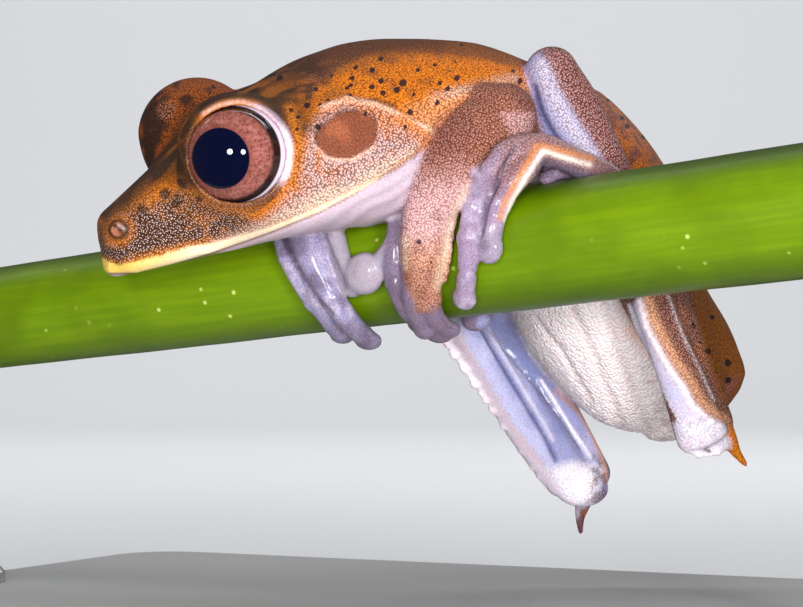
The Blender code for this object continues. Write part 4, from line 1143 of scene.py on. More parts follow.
def digit(path, radius, disc, part):
    """A finger or toe with a slight knuckle at each joint and a round pad at its end."""
    points = [joint(p) for p in path]
    out = [stem_out(p[1]) if isinstance(p, tuple) else Vector((0.0, -0.6, 0.8)) for p in path]
    sizes = [(radius * share, radius * share) for share in np.linspace(1.08, 0.86, len(points))]
    across = [out[i].cross(way_at(points, i)).normalized() for i in range(len(points))]
    add_form(limb(points, sizes, across, 20, 8, (0.8, 0.8)), part)
    for point, way in zip(points[1:-1:2], out[1:-1:2]):
        add_form(ball(point + way * radius * 0.10, (radius * 1.07,) * 3, level=3), part)
    axis = points[-1] - points[-2]
    pad = points[-1] + axis.normalized() * disc * 0.25
    add_form(ball(pad, (disc, disc * 0.92, disc * 0.62), turn_to(out[-1], axis), 4), part)


def web(first, second, part):
    """A thin skin between two digits' joints."""
    pairs = [(joint(a), joint(b)) for a, b in zip(first, second)]
    centres = [(a + b) / 2 for a, b in pairs]
    stations = []
    for i, (a, b) in enumerate(pairs):
        axis = way_at(centres, i)
        up = (b - a).cross(axis).normalized()
        stations.append((centres[i], axis, up, (b - a).length / 2, 0.3, 0.3, 2.6, 2.6))
    add_form(loft(stations, 20, 8), part)


def fringe(path, radius, count, part):
    """A row of round granules along a path, each a little different."""
    rows = flow([tuple(p) for p in path], 24)
    for k, share in enumerate(np.linspace(0, len(rows) - 1, count)):
        size = radius * (0.86 + 0.24 * math.sin(k * 2.4))
        add_form(ball(rows[int(round(share))], (size,) * 3, level=2), part)


ARM_PINK = (0.70, 0.40, 0.40)
ARM_PEACH = (0.66, 0.31, 0.18)
FRINGE_CREAM = (0.93, 0.76, 0.55)
LILAC = (0.215, 0.16, 0.25)
LILAC_BLUE = (0.33, 0.31, 0.50)
PAD_WHITE = (0.40, 0.35, 0.42)
LILAC_DARK = (0.125, 0.095, 0.16)
LILAC_PALE = (0.62, 0.56, 0.72)
THUMB_WHITE = (0.34, 0.305, 0.38)


def arm_coat(hide):
    """Brown above with pink granule tips as painted highlights, peach towards the wrist, a cream outer edge.
    """
    wander = blotches(hide.place, 1.4, 3)
    fine = blotches(hide.place, 0.6, 4)
    hide.lay(ARM_BROWN, 1.0, grain=0.5, stipple=0.7)
    hide.lay(ARM_WARM, rise(blotches(hide.place, 3.0, 12), 0.35, 0.7) * 0.7, grain=0.65)
    lower = rise(hide.y + 10 * (wander - 0.5), 150, 205) * rise(hide.x, 380, 395)
    hide.lay(ARM_PINK, lower, grain=0.7, stipple=0.55)
    hide.lay(ARM_PEACH, rise(hide.y, 225, 265) * 0.9 * rise(hide.x, 380, 395), grain=0.4, stipple=0.6)
    hide.lay(ARM_BROWN, lower * rise(fine, 0.55, 0.75) * 0.4)
    hide.lay(ARM_BROWN, rise(hide.y, 258, 272) * 0.35)
    hide.lay(ARM_PINK, hide.area(4, (500, 112), (534, 112), (534, 136), (512, 138)) * 0.7, grain=0.6)
    hide.lay(FRINGE_CREAM, hide.line(5, (466, 190), (456, 210), (448, 232), (444, 256), (438, 286)) * 0.5,
             grain=0.1, stipple=0.1)
    hide.lay(FRINGE_CREAM, hide.line(5, (481, 184), (476, 196)) * 0.7, grain=0.2, stipple=0.4)
    hide.lay(FRINGE_CREAM, hide.line(3, (405, 236), (404, 268)) * 0.6)
    hide.lay(LILAC, hide.line(6, (412, 165), (399, 210), (392, 255)) * 0.9, grain=0.2, wet=0.5)
    hide.mark = hide.dots((419, 242, 2.2), (431, 262, 1.6))


def finger_coat(hide):
    """Wet lilac with darker sides and pale tips."""
    wander = blotches(hide.place, 1.2, 5)
    fine = blotches(hide.place, 0.45, 6)
    hide.lay(blended(LILAC_BLUE, LILAC, rise(hide.x, 375, 392)), 1.0, grain=0.06, stipple=0.3, wet=1.0)
    hide.lay(LILAC_PALE, rise(0.5 * wander + 0.5 * fine, 0.45, 0.75) * 0.6 * rise(hide.x, 392, 370))
    hide.lay(LILAC_DARK, rise(wander, 0.45, 0.25) * 0.6)
    hide.lay(LILAC_DARK, rise(hide.y, 312, 328) * rise(hide.x, 400, 385) * 0.55)
    # Painted shade: the groove is darkened as well as carved.
    groove = hide.line(2.5, (284, 238), (292, 256), (302, 276), (316, 298), (332, 314))
    hide.lay(LILAC_DARK, groove * 0.8)
    hide.relief -= 0.15 * groove


def thumb_coat(hide):
    """Translucent white, with a paler round pad."""
    hide.lay(THUMB_WHITE, 1.0, grain=0.05, stipple=0.1, wet=0.7)
    # Painted shade: the groove is darkened as well as carved.
    groove = hide.line(2.2, (320, 226), (330, 250), (340, 272), (345, 288))
    hide.lay(LILAC_DARK, groove * 0.7)
    hide.relief -= 0.16 * groove
    pad = np.hypot(hide.x - 364, hide.y - 272)
    hide.lay(PAD_WHITE, rise(pad, 20, 15) * 0.7)
    hide.relief -= 0.06 * near(pad, 13, 2.5)


ARM = new_coat(arm_coat)
FINGER = new_coat(finger_coat)
THUMB = new_coat(thumb_coat)


def make_arm(plan):
    """Upper arm and forearm as far as the wrist."""
    add_form(limb(plan["upper"], plan["upper_sizes"], plan["across"]), ARM)
    fore = [joint(place) for place in plan["fore"]]
    add_form(limb(fore, plan["fore_sizes"], plan["across"], domes=(0.9, 0.7)), ARM)


make_arm(ARM_LEFT)
make_arm(ARM_RIGHT)

HAND_LEFT = {
    "palm": ((5.5, 62, 1.8), (5.1, 84, 1.6), (4.6, 106, 1.35), (4.2, 125, 1.2)),
    "palm_sizes": [(1.9, 1.5), (1.75, 1.35), (1.5, 1.2), (1.25, 1.05)],
    "radii": {"outer": 0.85, "long": 0.95, "inner": 0.82, "thumb": 0.66},
    "discs": {"outer": 1.1, "long": 1.25, "inner": 1.0, "thumb": 1.75},
    "outer": ((4.9, 104, 1.2), (4.5, 124, 1.2), (4.2, 144, 1.15), (4.1, 164, 1.0)),
    "long": ((4.0, 98, 1.2), (3.4, 118, 1.2), (3.0, 136, 1.2), (2.9, 152, 1.15), (3.1, 168, 1.1)),
    "inner": ((2.9, 44, 1.0), (2.6, 66, 1.0), (2.3, 88, 1.0), (2.1, 108, 1.0), (2.1, 128, 1.0),
              (2.3, 150, 0.9)),
    "thumb": ((3.2, 61, 1.1), (2.2, 77, 1.0), (1.0, 88, 0.95), (-0.1, 95, 0.9)),
    "fringe": ((7.7, 40, 1.0), (7.4, 64, 1.0), (7.05, 88, 1.0), (6.2, 110, 1.0)),
}
HAND_RIGHT = {
    "palm": ((-6.2, 34, 1.3), (-5.5, 56, 1.3), (-4.9, 76, 1.3), (-4.3, 94, 1.15)),
    "palm_sizes": [(1.5, 1.2), (1.5, 1.2), (1.35, 1.15), (1.1, 1.0)],
    "radii": {"outer": 0.66, "long": 0.98, "inner": 0.78, "thumb": 0.82},
    "discs": {"outer": 0.85, "long": 1.15, "inner": 0.95, "thumb": 1.15},
    "outer": ((-8.1, 54, 0.7), (-7.3, 76, 0.7), (-6.4, 96, 0.7), (-5.6, 116, 0.8), (-4.9, 138, 0.85),
              (-4.8, 158, 0.85)),
    "long": ((-4.3, 90, 1.1), (-3.6, 113, 1.1), (-3.0, 137, 1.1), (-2.9, 164, 1.15)),
    "inner": ((-5.1, 88, 0.9), (-4.9, 113, 0.9), (-4.8, 137, 0.9), (-4.8, 154, 0.9)),
    "thumb": ((-4.0, 43, 0.9), (-2.9, 67, 0.85), (-2.3, 86, 0.8), (-1.9, 101, 0.75)),
    "fringe": ((-7.8, 56, 0.9), (-8.1, 76, 0.9), (-7.9, 96, 0.9), (-7.3, 116, 0.9)),
}


def make_hand(plan, back_part):
    """A hand laid round the stem: palm, three fingers and the thumb."""
    palm = [on_stem(*place) for place in plan["palm"]]
    add_form(limb(palm, plan["palm_sizes"], stem_axis, domes=(0.7, 0.8)), back_part)
    for name, radius in plan["radii"].items():
        digit(plan[name], radius, plan["discs"][name], THUMB if name == "thumb" else FINGER)


make_hand(HAND_LEFT, ARM)
make_hand(HAND_RIGHT, FINGER)
fringe([on_stem(*p) for p in HAND_LEFT["fringe"]], FRINGE_BUMP, 22, ARM)

# Legs: folded tight, thigh to shank and shank to tarsus, with a white scalloped fringe along
# the tarsus, a pointed flap of skin on each heel and lilac inner sides.
HIP_LEFT = Vector((23.9, 13.6, -6.2))
KNEE_LEFT = Vector((11.6, -1.5, 18.0))
HEEL_LEFT = Vector((24.7, 4.3, -9.6))
ANKLE_LEFT = Vector((17.6, -0.9, 5.6))
HIP_RIGHT = Vector((21.8, 19.3, -6.2))
KNEE_RIGHT = Vector((-1.8, 18.6, 12.2))
HEEL_RIGHT = Vector((15.5, 16.4, -14.6))
ANKLE_RIGHT = Vector((4.3, 6.6, -1.0))
LEG_BROAD_LEFT = Vector((0.9, 0.0, 0.43))
LEG_BROAD_RIGHT = Vector((0.86, 0.25, 0.45))
LOW_SHIFT_LEFT = Vector((-1.35, -2.0, 0.0))
LOW_SHIFT_RIGHT = Vector((-2.5, -1.9, 1.3))
LOW_REACH_LEFT = 1.15
LOW_REACH_RIGHT = 1.6
WIDE_RIGHT = 1.25
HEEL_EDGE = ((22.2, 2.5, -11.3), (23.1, 2.4, -11.85), (24.3, 2.6, -11.95), (25.5, 3.2, -11.6))
TARSUS_BUMP = 0.44
HEEL_BUMP = 0.33

LEG_BROWN = (0.175, 0.062, 0.040)
KNEE_PURPLE = (0.30, 0.105, 0.095)
KNEE_BLUE = (0.36, 0.36, 0.62)
LEG_ORANGE = (0.42, 0.135, 0.03)
WET_BLUE = (0.30, 0.32, 0.56)
GROOVE_SHADE_BLUE = (0.05, 0.06, 0.19)
DEEP_BLUE = (0.20, 0.235, 0.47)
BLUE_PALE = (0.50, 0.51, 0.76)
FRINGE_WHITE = (0.84, 0.74, 0.82)
SEAM_LILAC = (0.62, 0.54, 0.66)
HEEL_WHITE = (0.86, 0.82, 0.92)
CALCAR_DARK = (0.12, 0.05, 0.06)
BAND_PEACH = (0.72, 0.36, 0.20)


def knee_marks(hide, seen):
    """Knee and shank of the left leg above the stem: purple, lilac blue towards the viewer."""
    hide.lay(KNEE_PURPLE, rise(hide.y, 200, 180) * seen, grain=0.8, stipple=0.8)
    knee = hide.area(4, (518, 60), (541, 52), (556, 84), (590, 140), (610, 168), (560, 175), (536, 132),
                     (520, 95))
    hide.lay(KNEE_BLUE, knee * seen, grain=0.15, stipple=0.3, wet=0.5)
    ridge = hide.line(9, (541, 66), (551, 92), (566, 120), (590, 154)) * seen
    hide.lay(LILAC_PALE, ridge * 0.9, grain=0.7, stipple=0.6)
    hide.relief += 0.1 * ridge
    # Painted shade: the groove is darkened to deep blue as well as carved.
    groove = hide.line(3.2, (534, 88), (541, 112), (553, 134), (566, 152)) * seen
    hide.lay(GROOVE_SHADE_BLUE, groove * 0.95, grain=0.1)
    hide.relief -= 0.22 * groove


def right_leg_marks(hide, right, shown, wander, fine):
    """The right leg below the stem: wet blue with bright seams, a painted highlight on a ridge,
    a groove darkened as painted shade, a pale outer edge and heel.
    """
    hide.lay(blended(WET_BLUE, BLUE_PALE, rise(wander, 0.4, 0.8) * 0.6), shown,
             grain=0.08, stipple=0.15, wet=0.85)
    band = hide.line(9, (462, 330), (492, 380), (520, 425), (548, 462))
    hide.lay(BLUE_PALE, band * shown * 0.9, grain=0.15)
    outer = hide.area(4, (425, 318), (456, 322), (480, 372), (512, 422), (545, 468), (580, 516), (535, 505),
                      (490, 440))
    hide.lay(SEAM_LILAC, outer * right, grain=0.15, stipple=0.1)
    hide.lay(JAW_PINK, hide.line(3, (446, 325), (475, 363), (511, 427), (544, 466)) * shown * 0.7)
    # Painted shade: the main groove is darkened as well as carved.
    main = hide.line(2.6, (478, 320), (503, 366), (528, 408), (547, 440), (557, 462)) * shown
    hide.lay(GROOVE_SHADE_BLUE, main * 0.85, grain=0.0)
    hide.relief -= 0.3 * main
    # Painted highlight: a pale line along the ridge beside the groove.
    bright = hide.line(2.0, (486, 325), (509, 366), (534, 407), (553, 440)) * shown
    hide.lay(HEEL_WHITE, bright * 0.45)
    hide.relief += 0.12 * bright
    wet_band = hide.line(9, (505, 340), (530, 378), (556, 424)) * shown
    hide.relief += 0.12 * (pebbles(hide.place, 0.55, 31) - 0.4) * wet_band
    deep = hide.line(8, (484, 306), (508, 340), (538, 384), (561, 430)) * shown
    hide.lay(DEEP_BLUE, deep * 0.8, wet=1.0)
    seam = hide.line(1.7, (541, 380), (568, 423), (591, 458)) * shown
    hide.lay(HEEL_WHITE, seam * 0.9)
    beside_seam = hide.line(3, (537, 386), (562, 425), (584, 458)) * shown
    hide.relief += 0.12 * seam - 0.12 * beside_seam
    heel = hide.area(7, (548, 470), (572, 462), (602, 466), (596, 505), (570, 508)) * shown
    hide.lay(HEEL_WHITE, heel, grain=0.15, stipple=0.3, wet=0.5)
    specked = hide.area(5, (592, 455), (615, 462), (612, 512), (584, 512), (592, 488)) * shown
    hide.lay(CALCAR_DARK, specked * rise(fine, 0.3, 0.55) * 0.6, stipple=0.9)
    rim = hide.line(2.0, (556, 390), (579, 412), (591, 433), (604, 464), (607, 482)) * right
    hide.lay(BAND_PEACH, rim * 0.8, grain=0.2)


def left_leg_marks(hide, left, shown, wander, fine):
    """The left leg below the stem: a lilac tarsus, white scallops, and brown beside them."""
    seam = ((629, 305), (640, 345), (655, 374), (666, 397), (677, 417), (687, 441))
    bumps = ((640, 300), (647, 326), (655, 342), (667, 364), (684, 388), (692, 404), (704, 416),
             (718, 426))
    tarsus = hide.area(3, *seam, (700, 456), (728, 448), *reversed(bumps))
    hide.lay(blended(LILAC_PALE, BLUE_PALE, rise(wander, 0.3, 0.8) * 0.6), tarsus * shown, grain=0.2,
             stipple=0.15, wet=0.6)
    hide.lay(HEEL_WHITE, hide.line(1.6, *seam) * shown * 0.8)
    hide.lay(FRINGE_WHITE, hide.line(4.2, *bumps) * shown, grain=0.1, stipple=0.0)
    hide.relief += 0.34 * hide.beads(4.0, 9.0, *bumps) * shown
    peach = [(px + 8, py - 5) for px, py in bumps]
    hide.lay(BAND_PEACH, hide.line(5, *peach) * shown * 0.85, grain=0.3, stipple=0.5)
    crease = hide.line(1.5, (668, 296), (682, 334), (698, 366), (714, 401)) * shown
    hide.lay(HEEL_WHITE, crease * 0.5)
    hide.relief += 0.1 * crease
    outside = hide.area(3, (690, 285), (704, 350), (722, 400), (752, 385), (748, 360), (705, 285))
    hide.lay(RUMP_OLIVE, left * outside, grain=0.2, stipple=0.7)
    heel = hide.area(3, (672, 424), (700, 414), (724, 424), (740, 444), (730, 470), (680, 470))
    hide.lay(blended(LILAC_PALE, HEEL_WHITE, fine), shown * heel, grain=0.3, stipple=0.3, wet=0.5)


def leg_coat(hide):
    """Brown outside with pale granule tips as painted highlights, lilac blue inner sides, white along the
    seams.
    """
    x, y = hide.x, hide.y
    wander = blotches(hide.place, 1.5, 8)
    fine = blotches(hide.place, 0.5, 9)
    seen = rise(hide.facing, 0.0, 0.25)
    right = rise(x, 620, 612) * rise(y, 300, 312)
    left = rise(x, 612, 620) * rise(y, 285, 296)
    hide.lay(LEG_BROWN, 1.0, grain=0.55, stipple=0.7)
    hide.lay(LEG_ORANGE, rise(wander, 0.5, 0.8) * 0.4)
    knee_marks(hide, seen)
    right_leg_marks(hide, right, right * seen, wander, fine)
    left_leg_marks(hide, left, left * seen, wander, fine)
    hide.mark = hide.dots(*BACK_SPOTS)


def fringe_coat(hide):
    """White granules."""
    hide.lay(FRINGE_WHITE, 1.0, grain=0.2, stipple=0.0, wet=0.3)


def calcar_coat(hide):
    """Purple and dark specked, white on the near side and rimmed with orange towards the tip."""
    left = rise(hide.x, 640, 660)
    hide.lay(CALCAR_DARK, 1.0, grain=0.1, stipple=0.5)
    hide.lay(LILAC_PALE, rise(hide.x, 581, 577) * rise(hide.y, 524, 510) * 0.9)
    hide.lay(LEG_ORANGE, rise(hide.x, 583, 587) * (1 - left) * 0.8)
    hide.lay(CANTHUS_ORANGE, left)


LEG = new_coat(leg_coat)
FRINGE = new_coat(fringe_coat)
CALCAR = new_coat(calcar_coat)


def make_leg(hip, knee, heel, low, ankle, broad, heel_round, wide):
    """Thigh, shank and folded tarsus, which lies beside the shank from the low end of the heel."""
    front = Vector((-0.3, 0.0, 0.0))
    add_form(limb([hip, hip.lerp(knee, 0.35), hip.lerp(knee, 0.7), knee],
                  [(3.0, 2.8), (3.6, 3.0), (2.5, 2.4), (2.0, 1.95)], broad), LEG)
    shank = [knee, knee.lerp(heel, 0.12) + front, knee.lerp(heel, 0.3) + front, knee.lerp(heel, 0.65), heel]
    add_form(limb(shank, [(2.1, 1.95), (2.85, 2.1), (2.9, 2.3), (2.5 * wide, 1.9), (1.75 * wide, 1.6)],
                  broad), LEG)
    tarsus = [low, low.lerp(ankle, 0.35), low.lerp(ankle, 0.75), ankle]
    add_form(limb(tarsus, [(2.1, 1.4), (1.75 * wide, 1.35), (1.6, 1.3), (1.5, 1.3)], broad,
                  domes=(heel_round, 1.0)), LEG)


low_left = HEEL_LEFT + LOW_SHIFT_LEFT + (HEEL_LEFT - ANKLE_LEFT).normalized() * LOW_REACH_LEFT
low_right = HEEL_RIGHT + LOW_SHIFT_RIGHT + (HEEL_RIGHT - ANKLE_RIGHT).normalized() * LOW_REACH_RIGHT
make_leg(HIP_LEFT, KNEE_LEFT, HEEL_LEFT, low_left, ANKLE_LEFT, LEG_BROAD_LEFT, 0.55, 1.0)
make_leg(HIP_RIGHT, KNEE_RIGHT, HEEL_RIGHT, low_right, ANKLE_RIGHT, LEG_BROAD_RIGHT, 1.0, WIDE_RIGHT)
edge_way = -LEG_BROAD_RIGHT.normalized() * 1.4 * WIDE_RIGHT + LOW_SHIFT_RIGHT.normalized() * 0.4
fringe([low_right.lerp(ANKLE_RIGHT, share) + edge_way for share in (0.02, 0.5, 0.97)], TARSUS_BUMP, 30,
       FRINGE)
add_form(ball((15.0, 15.0, -15.35), (2.25, 1.25, 1.6)), LEG)
add_form(ball((24.9, 3.6, -11.0), (1.3, 1.0, 0.9)), LEG)
fringe(HEEL_EDGE, HEEL_BUMP, 8, FRINGE)
for start, tip, width in (((25.7, 4.0, -10.3), (27.4, 3.4, -12.95), 1.05),
                          ((15.2, 16.0, -15.8), (14.9, 15.4, -19.3), 1.2)):
    start, tip = Vector(start), Vector(tip)
    bend = Vector((-0.12, 0, 0))
    add_form(limb([start, start.lerp(tip, 0.3), start.lerp(tip, 0.6) + bend, start.lerp(tip, 0.93)],
                  [(width, width * 0.8), (width * 0.62, width * 0.55), (0.42, 0.4), (0.22, 0.22)],
                  (0, 1, 0)), CALCAR)

# Feet: the left one bridges the stem, its long toes hanging down the front, and the right one
# holds the stem's back. The toes are webbed and end in round pads.
FOOT_LEFT = {
    "sole": [Vector((17.1, -1.9, 7.6)), Vector((15.9, -3.4, 9.4)), Vector((14.4, -5.4, 10.3)),
             Vector((12.8, -7.2, 11.0))],
    "sole_sizes": [(1.5, 1.2), (1.3, 1.1), (1.1, 0.95), (0.95, 0.85)],
    "outer": [Vector((14.6, -5.2, 9.95)), Vector((12.4, -7.6, 11.0)), Vector((10.5, -9.0, 11.5)),
              Vector((9.2, -9.9, 10.0)), Vector((8.1, -10.2, 8.8)), (11.2, 60, 1.35), (10.7, 76, 1.1),
              (10.4, 88, 0.95)],
    "long": [Vector((13.1, -7.0, 10.9)), Vector((10.4, -8.8, 11.9)), Vector((7.9, -9.9, 11.4)),
             Vector((6.8, -10.3, 9.9)), (9.3, 55, 1.6), (8.85, 82, 1.3), (8.4, 103, 1.2), (7.5, 124, 1.15)],
    "middle": [Vector((12.0, -7.4, 11.2)), Vector((8.3, -8.8, 10.7)), Vector((5.9, -9.8, 9.8))],
    "inner": [Vector((13.6, -5.2, 9.9)), Vector((12.2, -6.2, 10.0)), Vector((11.2, -6.6, 9.6))],
}
FOOT_RIGHT = {
    "sole": ((4.0, -138, 1.7), (3.6, -120, 1.4), (2.8, -102, 1.3), (1.8, -88, 1.3)),
    "sole_sizes": [(1.3, 1.0), (1.8, 1.0), (2.2, 0.95), (2.2, 0.95)],
    "outer": ((4.0, -92, 1.1), (4.8, -74, 1.0), (5.4, -58, 0.95), (5.8, -42, 0.9)),
    "long": ((2.4, -84, 1.1), (2.6, -66, 1.1), (2.7, -48, 1.0), (2.8, -32, 0.9)),
    "middle": ((1.1, -80, 1.1), (0.2, -62, 1.0), (-0.3, -46, 0.9)),
    "inner": ((0.0, -88, 1.0), (-1.6, -78, 0.9), (-2.9, -68, 0.9)),
    "first": ((0.2, -102, 0.9), (-1.3, -100, 0.9), (-2.7, -98, 0.9)),
}
TOE_BROWN = (0.30, 0.135, 0.125)
TOE_LILAC = (0.34, 0.26, 0.40)
TOE_EDGE = (0.95, 0.84, 0.78)
TOE_ORANGE = (0.72, 0.27, 0.06)


def toe_coat(hide):
    """Brown purple above, wet lilac towards the pads, a white outer edge with an orange line."""
    x, y = hide.x, hide.y
    wander = blotches(hide.place, 1.2, 5)
    fine = blotches(hide.place, 0.45, 6)
    above = rise(y, 215, 165)
    hide.lay(TOE_LILAC, 1.0, grain=0.05, stipple=0.25, wet=1.0)
    hide.lay(LILAC_PALE, rise(0.5 * wander + 0.5 * fine, 0.5, 0.75) * 0.7)
    hide.lay(TOE_BROWN, above * rise(x, 478, 500) * 0.85, grain=0.6, stipple=0.55, wet=0.4)
    hide.lay(TOE_LILAC, hide.line(6, (500, 150), (489, 171), (473, 203), (462, 240)) * 0.6)
    # Painted shade: the gap between two toes is darkened as well as carved.
    gap = hide.line(2.4, (516, 146), (500, 176), (487, 204), (480, 236)) * rise(hide.facing, -0.1, 0.2)
    hide.lay(LILAC_DARK, gap * 0.9)
    hide.relief -= 0.3 * gap
    hide.lay(LILAC, hide.area(3, (541, 158), (563, 163), (600, 176), (600, 190), (530, 190)), grain=0.1,
             wet=0.6)
    edge = hide.line(2.6, (590, 165), (562, 157), (543, 151), (526, 177), (511, 204), (506, 220))
    rim = hide.line(3.0, (592, 159), (563, 151), (538, 145), (520, 175), (505, 202), (500, 218))
    hide.lay(TOE_ORANGE, rim * 0.8, grain=0.1, stipple=0.1)
    hide.lay(TOE_EDGE, edge, grain=0.0, stipple=0.0)
    hide.lay(THUMB_WHITE, rise(np.hypot(x - 491, (y - 246) * 0.8), 17, 12) * 0.5)
    hide.lay(LILAC_DARK, rise(np.hypot(x - 484, y - 246), 8, 4) * 0.5)
    hide.relief -= 0.12 * near(y, 272 + 0.1 * (x - 465), 2.2) * rise(x, 484, 478)


def sole_coat(hide):
    """Blue lilac."""
    wander = blotches(hide.place, 1.3, 10)
    hide.lay(blended(WET_BLUE, LILAC, rise(wander, 0.3, 0.6)), 1.0, grain=0.2, stipple=0.3, wet=0.6)


TOE = new_coat(toe_coat)
SOLE = new_coat(sole_coat)
add_form(limb(FOOT_LEFT["sole"], FOOT_LEFT["sole_sizes"], (0.65, 0.1, 0.5)), TOE)
for toe, radius, disc in (("outer", 1.0, 1.2), ("long", 0.88, 1.05), ("middle", 0.45, 0.52),
                          ("inner", 0.6, 0.75)):
    digit(FOOT_LEFT[toe], radius, disc, TOE)
web(FOOT_LEFT["outer"][1:4] + [Vector((8.4, -10.0, 8.6)), (11.0, 62, 1.0)],
    FOOT_LEFT["long"][1:4] + [(9.1, 55, 1.4), (8.8, 68, 1.0)], TOE)
add_form(limb([Vector((11.2, -5.6, 9.8)), Vector((13.0, -4.6, 9.8)), Vector((15.0, -3.2, 9.5))],
              [(0.9, 0.6), (1.0, 0.6), (0.8, 0.5)], (0, 0, 1)), TOE)
add_form(limb([on_stem(*p) for p in FOOT_RIGHT["sole"]], FOOT_RIGHT["sole_sizes"], stem_axis), SOLE)
for toe, radius, disc in (("outer", 0.85, 1.15), ("long", 0.9, 1.2), ("middle", 0.8, 1.1),
                          ("inner", 0.75, 1.0), ("first", 0.7, 0.95)):
    digit(FOOT_RIGHT[toe], radius, disc, FINGER)
toe_sides = (((3.8, -92, 0.9), (4.2, -80, 0.8), (4.6, -70, 0.7)),
             ((2.3, -88, 0.9), (2.5, -76, 0.8), (2.6, -66, 0.7)),
             ((1.2, -86, 0.9), (0.8, -74, 0.8), (0.5, -66, 0.7)))
for first, second in zip(toe_sides, toe_sides[1:]):
    web(first, second, FINGER)

# Skin: the forms fused into one moist, finely granular skin. Each part of it is coloured and
# carved by the coat of the form that it came from, and the shader adds what is finer than that.
# The skin's colour attribute keeps spots in its alpha, and "traits" keeps four other values.
SKIN_VOXEL = 0.18
SMOOTH_SHARE = 0.5
SMOOTH_ROUNDS = 3
SKIN_TRIANGLES = 195000
LID_ROUNDS = {-1: 420, 1: 60}
LID_BLEND = 8.0
HEAD_END = 5.0
FACING_AWAY = 0.3
GRANULE = 0.19
PEBBLE = 0.30
SPECKLE_AND_CREASE_SHADE = (0.040, 0.013, 0.006)
GRANULE_HIGHLIGHT = (0.95, 0.82, 0.86)
TIP_HIGHLIGHT_GAIN = (1.7, 1.6, 1.5)
MOTTLE_RED = (1.0, 0.62, 0.5)
CREASE_PINK_SHADE = (0.78, 0.66, 0.68)
SPOT_BLACK = (0.012, 0.007, 0.014)

with bpy.context.temp_override(active_object=body, selected_editable_objects=forms):
    bpy.ops.object.join()
pattern = BVHTree.FromObject(body, bpy.context.evaluated_depsgraph_get())


def read(items, name, width=1, kind=float):
    """What all the items say under a name, as numbers or as rows of numbers."""
    values = np.zeros(len(items) * width, dtype=kind)
    items.foreach_get(name, values)
    return values.reshape(-1, width) if width > 1 else values


form_places = [v.co.copy() for v in body.data.vertices]
form_spots = read(body.data.attributes["spot"].data, "vector", 3)
form_parts = read(body.data.attributes["part"].data, "value", kind=int)
form_faces = [tuple(p.vertices) for p in body.data.polygons]

skin = bpy.data.objects.new("frog_skin", body.data.copy())
studio.collection.objects.link(skin)
bpy.data.objects.remove(body, do_unlink=True)
fused = skin.modifiers.new("fused", "REMESH")
fused.mode = "VOXEL"
fused.voxel_size = SKIN_VOXEL
fix(skin)
relaxed = skin.modifiers.new("relaxed", "SMOOTH")
relaxed.factor = SMOOTH_SHARE
relaxed.iterations = SMOOTH_ROUNDS
fix(skin)

places = read(skin.data.vertices, "co", 3)
count = len(places)
spots = np.zeros((count, 3))
parts = np.zeros(count, dtype=int)
for i, place in enumerate(places):
    hit, way, face, reach = pattern.find_nearest(Vector(place))
    corners = form_faces[face]
    weights = [1.0 / ((form_places[c] - hit).length + 0.001) for c in corners]
    spots[i] = np.average(form_spots[list(corners)], axis=0, weights=weights)
    parts[i] = form_parts[corners[0]]
edge_ends = read(skin.data.edges, "vertices", 2, int)


def softened(values, pairs, rounds, share=0.5):
    """Values averaged with those of their neighbours: each pair names two neighbours."""
    values = values.copy()
    neighbours = np.maximum(np.bincount(pairs.ravel(), minlength=len(values)), 1)
    for _ in range(rounds):
        for column in values.T:
            total = np.bincount(pairs[:, 0], column[pairs[:, 1]], len(values))
            total += np.bincount(pairs[:, 1], column[pairs[:, 0]], len(values))
            column += share * (total / neighbours - column)
    return values


# The lids blend into the head round each eye
for side in (-1, 1):
    from_eye = places - np.array(eye_centre(side))
    reach = np.linalg.norm(from_eye, axis=1)
    around = np.flatnonzero(reach < LID_BLEND)
    nearby = np.full(count, -1)
    nearby[around] = np.arange(len(around))
    pairs = nearby[edge_ends]
    pairs = pairs[(pairs >= 0).all(axis=1)]
    reach = reach[around]
    above = from_eye[around] @ np.array(head_up) / reach
    level = from_eye[around] @ np.array(eye_way(OPENING_WAY, side)) / reach
    turned = np.degrees(np.arccos(np.clip(level, -1, 1)))
    hold = 0.8 * rise(turned, OPENING_ANGLE + 2, OPENING_ANGLE + 8)
    hold = hold * rise(reach, EYE_RADIUS + 0.24, EYE_RADIUS + 0.36)
    hold *= rise(reach, 7.8, 6.6) * rise(above, 0.55, 0.2)
    places[around] = softened(places[around], pairs, LID_ROUNDS[side], hold)
skin.data.vertices.foreach_set("co", places.ravel())
skin.data.update()
normals = read(skin.data.vertices, "normal", 3)

tints = np.zeros((count, 4))
traits = np.zeros((count, 4))
relief = np.zeros(count)
for part, coat in enumerate(coats):
    worn = np.flatnonzero(parts == part)
    seen_from, near_side = places[worn], None
    if part == BODY:
        seen_from, near_side = on_viewer_side(places[worn], spots[worn])
    hide = Hide(places[worn], spots[worn], -normals[worn, 1], seen_from, near_side)
    coat(hide)
    tints[worn] = np.column_stack([hide.tint, hide.mark])
    traits[worn] = np.column_stack([hide.grain, hide.stipple, hide.wet, hide.pebble])
    relief[worn] = hide.relief
joins = np.zeros(count)
joins[edge_ends[parts[edge_ends[:, 0]] != parts[edge_ends[:, 1]]].ravel()] = 1.0
joins = np.clip(softened(joins[:, None], edge_ends, 6) * 6, 0, 1)
tints = tints * (1 - joins) + softened(tints, edge_ends, 5) * joins
traits = softened(traits, edge_ends, 3)
places = places + normals * relief[:, None]
skin.data.vertices.foreach_set("co", places.ravel())
for name, values in (("tint", tints), ("traits", traits)):
    layer = skin.data.color_attributes.new(name, "FLOAT_COLOR", "POINT")
    layer.data.foreach_set("color", values.ravel())
triangles = sum(len(p.vertices) - 2 for p in skin.data.polygons)
